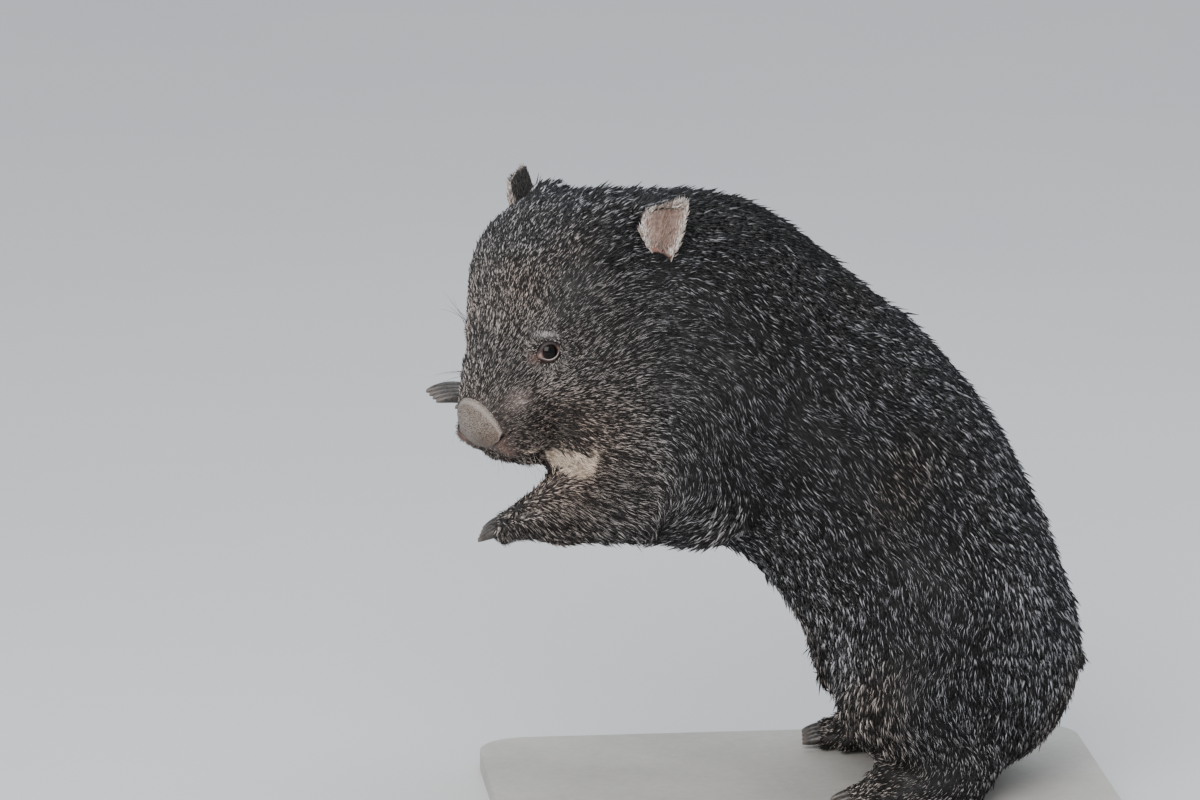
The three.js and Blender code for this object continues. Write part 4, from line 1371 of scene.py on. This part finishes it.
def ear_material():
    mat, tree, shader = material("ear_skin", 0.6)
    grain = noise(tree, 260, 4).outputs["Fac"]
    pink = grained(tree, grain, (0.14, 0.075, 0.06), (0.27, 0.155, 0.125))
    dark = grained(tree, grain, (0.018, 0.012, 0.012), (0.045, 0.032, 0.032))
    inner = mixed(tree, mask(tree, attribute(tree, "edge"), 0.8, 0.98), pink, (0.5, 0.45, 0.42))
    shader.inputs["Subsurface Weight"].default_value = 0.1
    shader.inputs["Subsurface Scale"].default_value = 0.004
    bump(tree, shader, grain, 0.3, 0.0008)
    return coloured(mat, mixed(tree, attribute(tree, "inner"), dark, inner))


def claw_material():
    mat, tree, shader = material("claw_horn", 0.38)
    streak = noise(tree, 420, 4, 0.5).outputs["Fac"]
    horn = colour_ramp(tree, streak, [(0.3, (0.012, 0.01, 0.009)), (0.65, (0.05, 0.042, 0.036))])
    bump(tree, shader, streak, 0.25, 0.0006)
    towards_tip = mask(tree, attribute(tree, "along"), 0.6, 1.0)
    return coloured(mat, mixed(tree, towards_tip, horn, (0.12, 0.1, 0.085)))


def whisker_material():
    mat, tree, _ = material("whisker_hair", 0.35)
    grain = noise(tree, 150).outputs["Fac"]
    black = grained(tree, grain, (0.006, 0.005, 0.005), (0.02, 0.017, 0.016))
    return coloured(mat, mixed(tree, attribute(tree, "pale"), black, (0.5, 0.44, 0.38)))


def base_material():
    mat, tree, shader = material("stand_stone", 0.6)
    fine, broad = noise(tree, 160, 6).outputs["Fac"], noise(tree, 9, 4).outputs["Fac"]
    fine_part = maths(tree, "MULTIPLY", fine, 0.35)
    tone = maths(tree, "ADD", fine_part, maths(tree, "MULTIPLY", broad, 0.65))
    bump(tree, shader, fine, 0.12, 0.0006)
    return coloured(mat, grained(tree, tone, (0.36, 0.345, 0.32), (0.5, 0.485, 0.455)))


def floor_material():
    mat, tree, _ = material("pale_floor", 0.8)
    shade = noise(tree, 1.2, 2).outputs["Fac"]
    return coloured(mat, grained(tree, shade, (0.60, 0.605, 0.61), (0.63, 0.63, 0.63)))


# Skin: the flesh less the coat's depth, with the nose, mouth and eye hollows
SKIN_LOW, SKIN_HIGH, SKIN_STEP = [-172, -176, 10], [172, 428, 524], 4.0
FACE_REACH = {"forms": 130, "even": 122, "fine": 112}  # how far from the nose
FLESH = flesh_field()
FACE_FORMS, FACE_HOLLOWS = muzzle_forms(), face_hollows()
SOCKET = {"ahead": 30, "radius": 23.8}  # a wide shallow hollow in front of each eye
BELLY = {"centre": [0, 140, 215], "reach": 90, "deep": 5}
ARMPIT = {"centre": [100, 40, 235], "reach": 70, "deep": 4}


def sockets():
    out = []
    for side in (1, -1):
        ahead = np.add(EYE["centre"], unit(EYE["look"]) * SOCKET["ahead"])
        out.append((ellipsoid(side_of(ahead, side), [SOCKET["radius"]] * 3), 5.0))
        out.append((ellipsoid(side_of(EYE["centre"], side), [EYE["radius"] + 0.8] * 3), 1.0))
    return out


SOCKETS = sockets()


def depth(p):
    """How far the skin lies under the ends of the coat."""
    away = np.linalg.norm(HEAD.into(p), axis=-1)
    deep = 1.5 + 3.3 * ramp(away, 35, 170)
    foot = 1 - ramp(p[..., 2], 30, 90)
    hollows = sum(fold["deep"] * within(p, fold["centre"], fold["reach"])
                  for fold in (BELLY, ARMPIT))
    return deep * (1 - 0.6 * foot) + hollows


def skin_shape(p, hollows=True):
    total = FLESH(p) + depth(p)
    h = HEAD.into(p)
    close = np.nonzero((h * h).sum(-1) < FACE_REACH["forms"] ** 2)[0]
    part, q = total[close], h[close]
    for form, soft in FACE_FORMS:
        part = meet(part, form(q), soft)
    if hollows:
        part = -part
        for hollow, soft in FACE_HOLLOWS + SOCKETS:
            part = meet(part, hollow(q), soft)
        part = -part
    total[close] = part
    return total


def SKIN(p):
    return skin_shape(p, hollows=False)


def finer(points, faces, regions):
    """Quads split in four within each region in turn."""
    mesh = bmesh.new()
    verts = [mesh.verts.new(p) for p in points]
    for face in faces:
        mesh.faces.new([verts[n] for n in face])
    for inside in regions:
        mesh.verts.ensure_lookup_table()
        near = inside(HEAD.into(np.array([v.co[:] for v in mesh.verts])))
        mesh.verts.index_update()
        edges = [e for e in mesh.edges if near[e.verts[0].index] and near[e.verts[1].index]]
        bmesh.ops.subdivide_edges(mesh, edges=edges, cuts=1, use_grid_fill=True)
    bmesh.ops.triangulate(mesh, faces=[f for f in mesh.faces if len(f.verts) > 4])
    mesh.verts.index_update()
    points = np.array([v.co[:] for v in mesh.verts])
    faces = [[v.index for v in f.verts] for f in mesh.faces]
    mesh.free()
    return points, faces


def near_face(h):
    return np.linalg.norm(h, axis=1) < FACE_REACH["fine"]


def near_details(h):
    nose = np.linalg.norm(h - [-20, 0, -14], axis=1) < 44
    mouth = (np.abs(h[:, 2] + 28) < 8) & (h[:, 0] > -72) & (h[:, 0] < 5)
    eye = np.linalg.norm(folded(h) - EYE["centre"], axis=1) < EYE["radius"] + 9
    return nose | mouth | eye


def skin_mesh():
    grid = Grid(skin_shape, SKIN_LOW, SKIN_HIGH, SKIN_STEP)
    points, faces = grid.net()
    points = even(grid.at, points, faces, 3, 2)
    points, faces = finer(points, faces, [near_face, near_details])
    ragged = np.array([face + face[:1] if len(face) == 3 else face for face in faces])
    face = np.nonzero(np.linalg.norm(HEAD.into(points), axis=1) < FACE_REACH["even"])[0]
    edges = edges_of(ragged)
    edges = edges[edges[:, 0] != edges[:, 1]]
    for _ in range(3):
        middle = averaged(points, edges)[face]
        points[face] = onto(skin_shape, points[face] * 0.6 + middle * 0.4, 1.5)
    return points, ragged


def pad_piece(look):
    """The bare pad of the nose, a shell that stands a little over the skin inside its outline."""
    def shape(p):
        h = HEAD.into(p)
        far = outline_distance(h[:, 1], h[:, 2], PAD_OUTLINE)
        lift = PAD_HIGH * smooth((0.5 - far) / 1.5) + 0.1 * np.exp(-((far + 0.9) / 0.7) ** 2)
        skin = skin_shape(p)
        shell = np.maximum(skin - lift, -(skin + 3.5))
        return np.maximum(shell, np.maximum(far - 1.2, -h[:, 0] - 30))

    low = HEAD.out([-14, 0, 4]) - PAD_REACH
    grid = Grid(shape, low, low + 2 * PAD_REACH, 0.9)
    points, faces = grid.net()
    points = even(grid.at, points, faces, 2, 0.4)
    piece = made("nose_leather", points, faces, look)
    h = HEAD.into(points)
    far = outline_distance(h[:, 1], h[:, 2], PAD_OUTLINE)
    give(piece, {
        "rim": np.exp(-((far + 0.4) / 0.6) ** 2) * ramp(h[:, 2], -12, -4) * 0.65,
        # deep: inside the nostrils, for their painted shade
        "deep": 1 - ramp(fused(nostrils())(h), -0.5, 1.2),
        # low: how far down the pad a point lies, for its painted shade
        "low": 1 - ramp(h[:, 2] - 0.45 * h[:, 1] + 3 * waves(points, 12, 41), -16, 12),
    })
    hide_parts("nose_pad")


def rest_of_flesh():
    separate = ("nose", "eye", "eyelids", "ear", "claw", "stand")
    return [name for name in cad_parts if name.split("_")[0] not in separate]


FUR = coat_material()
points, faces = skin_mesh()
normals = normals_of(points, faces)
skin = made("wombat_skin", points, [f[:3] if f[3] == f[0] else f for f in faces.tolist()], FUR)
plain = {"along": np.full(len(points), 0.25), "tone": np.full(len(points), 0.3)}
give(skin, {**plain, **markings(points)})
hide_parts(*rest_of_flesh())
skin_uv = unwrapped(skin)

PIECES, EACH = 7, 49500
for n in range(PIECES):
    roots = roots_on(points, faces, normals, skin_uv, coat_density, EACH, 100 + n)
    place, normal, _ = roots
    angle = 0.2 * waves(place, 45, 21) + 0.22 * waves(place, 13, 22)
    angle = angle + 0.15 * np.random.default_rng(300 + n).normal(size=EACH)
    angle = angle * (0.4 + 0.6 * ramp(np.linalg.norm(HEAD.into(place), axis=1), 60, 220))
    way = turned(lie(place, normal), normal, angle)
    tufts("coat_%d" % n, roots, way, coat_size(place, 200 + n), 400 + n, FUR, markings(place))

CLAWS = {"fore": {"long": 26, "thick": 4.6, "droop": 7, "lift": 1},
         "hind": {"long": 24, "thick": 4.4, "droop": 4, "lift": 1}}
EYE_LOOK, LID_LOOK = eye_material(), lid_material()
EAR_LOOK, CLAW_LOOK = ear_material(), claw_material()
for side in (1, -1):
    eyeball(side, EYE_LOOK)
    lids(side, LID_LOOK)
    ear_piece(side, EAR_LOOK, FUR)
    claw_piece("fore", side, fore_frame(side), fore_toe, CLAWS["fore"], CLAW_LOOK)
    claw_piece("hind", side, hind_frame(side), hind_toe, CLAWS["hind"], CLAW_LOOK)
pad_piece(pad_material())
whiskers(whisker_material())
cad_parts["stand_base"].data.materials[0] = base_material()

# Floor, light and camera
FLOOR_SIZE = 30  # metres
floor_mesh = bpy.data.meshes.new("floor")
half = FLOOR_SIZE / 2
floor_corners = [(-half, -half, 0), (half, -half, 0), (half, half, 0), (-half, half, 0)]
floor_mesh.from_pydata(floor_corners, [], [(0, 1, 2, 3)])
floor_mesh.materials.append(floor_material())
floor = bpy.data.objects.new("floor", floor_mesh)
bpy.context.scene.collection.objects.link(floor)
floor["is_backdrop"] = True

world = bpy.data.worlds.new("studio")
bpy.context.scene.world = world
world.use_nodes = True
world.node_tree.nodes["Background"].inputs["Color"].default_value = (0.86, 0.9, 0.96, 1)
world.node_tree.nodes["Background"].inputs["Strength"].default_value = 1.0

LOOK_AT = Vector(metres([0, 0, 335]))


def area_light(name, place, size, watts, colour):
    data = bpy.data.lights.new(name, "AREA")
    data.energy, data.size, data.color = watts, size, colour
    lamp = bpy.data.objects.new(name, data)
    lamp.location = place
    lamp.rotation_euler = (LOOK_AT - lamp.location).to_track_quat("-Z", "Y").to_euler()
    bpy.context.scene.collection.objects.link(lamp)


area_light("key", (2.2, -0.9, 1.6), 1.8, 84, (1, 0.97, 0.93))
area_light("top", (-0.5, 0.5, 2.5), 2.0, 26, (0.9, 0.95, 1))

CAMERA = {"azimuth": 84, "elevation": 12.5, "lens": 200, "sensor": 36, "distance": 5.3333}
azimuth, elevation = math.radians(CAMERA["azimuth"]), math.radians(CAMERA["elevation"])
flat = math.cos(elevation)
back = Vector((math.sin(azimuth) * flat, -math.cos(azimuth) * flat, math.sin(elevation)))
lens = bpy.data.cameras.new("camera")
lens.lens, lens.sensor_width = CAMERA["lens"], CAMERA["sensor"]
camera = bpy.data.objects.new("camera", lens)
camera.location = LOOK_AT + back * CAMERA["distance"]
camera.rotation_euler = back.to_track_quat("Z", "Y").to_euler()
bpy.context.scene.collection.objects.link(camera)
bpy.context.scene.camera = camera

[[list(map(float, corner)) for corner in box] for box in (cad_box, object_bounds())]
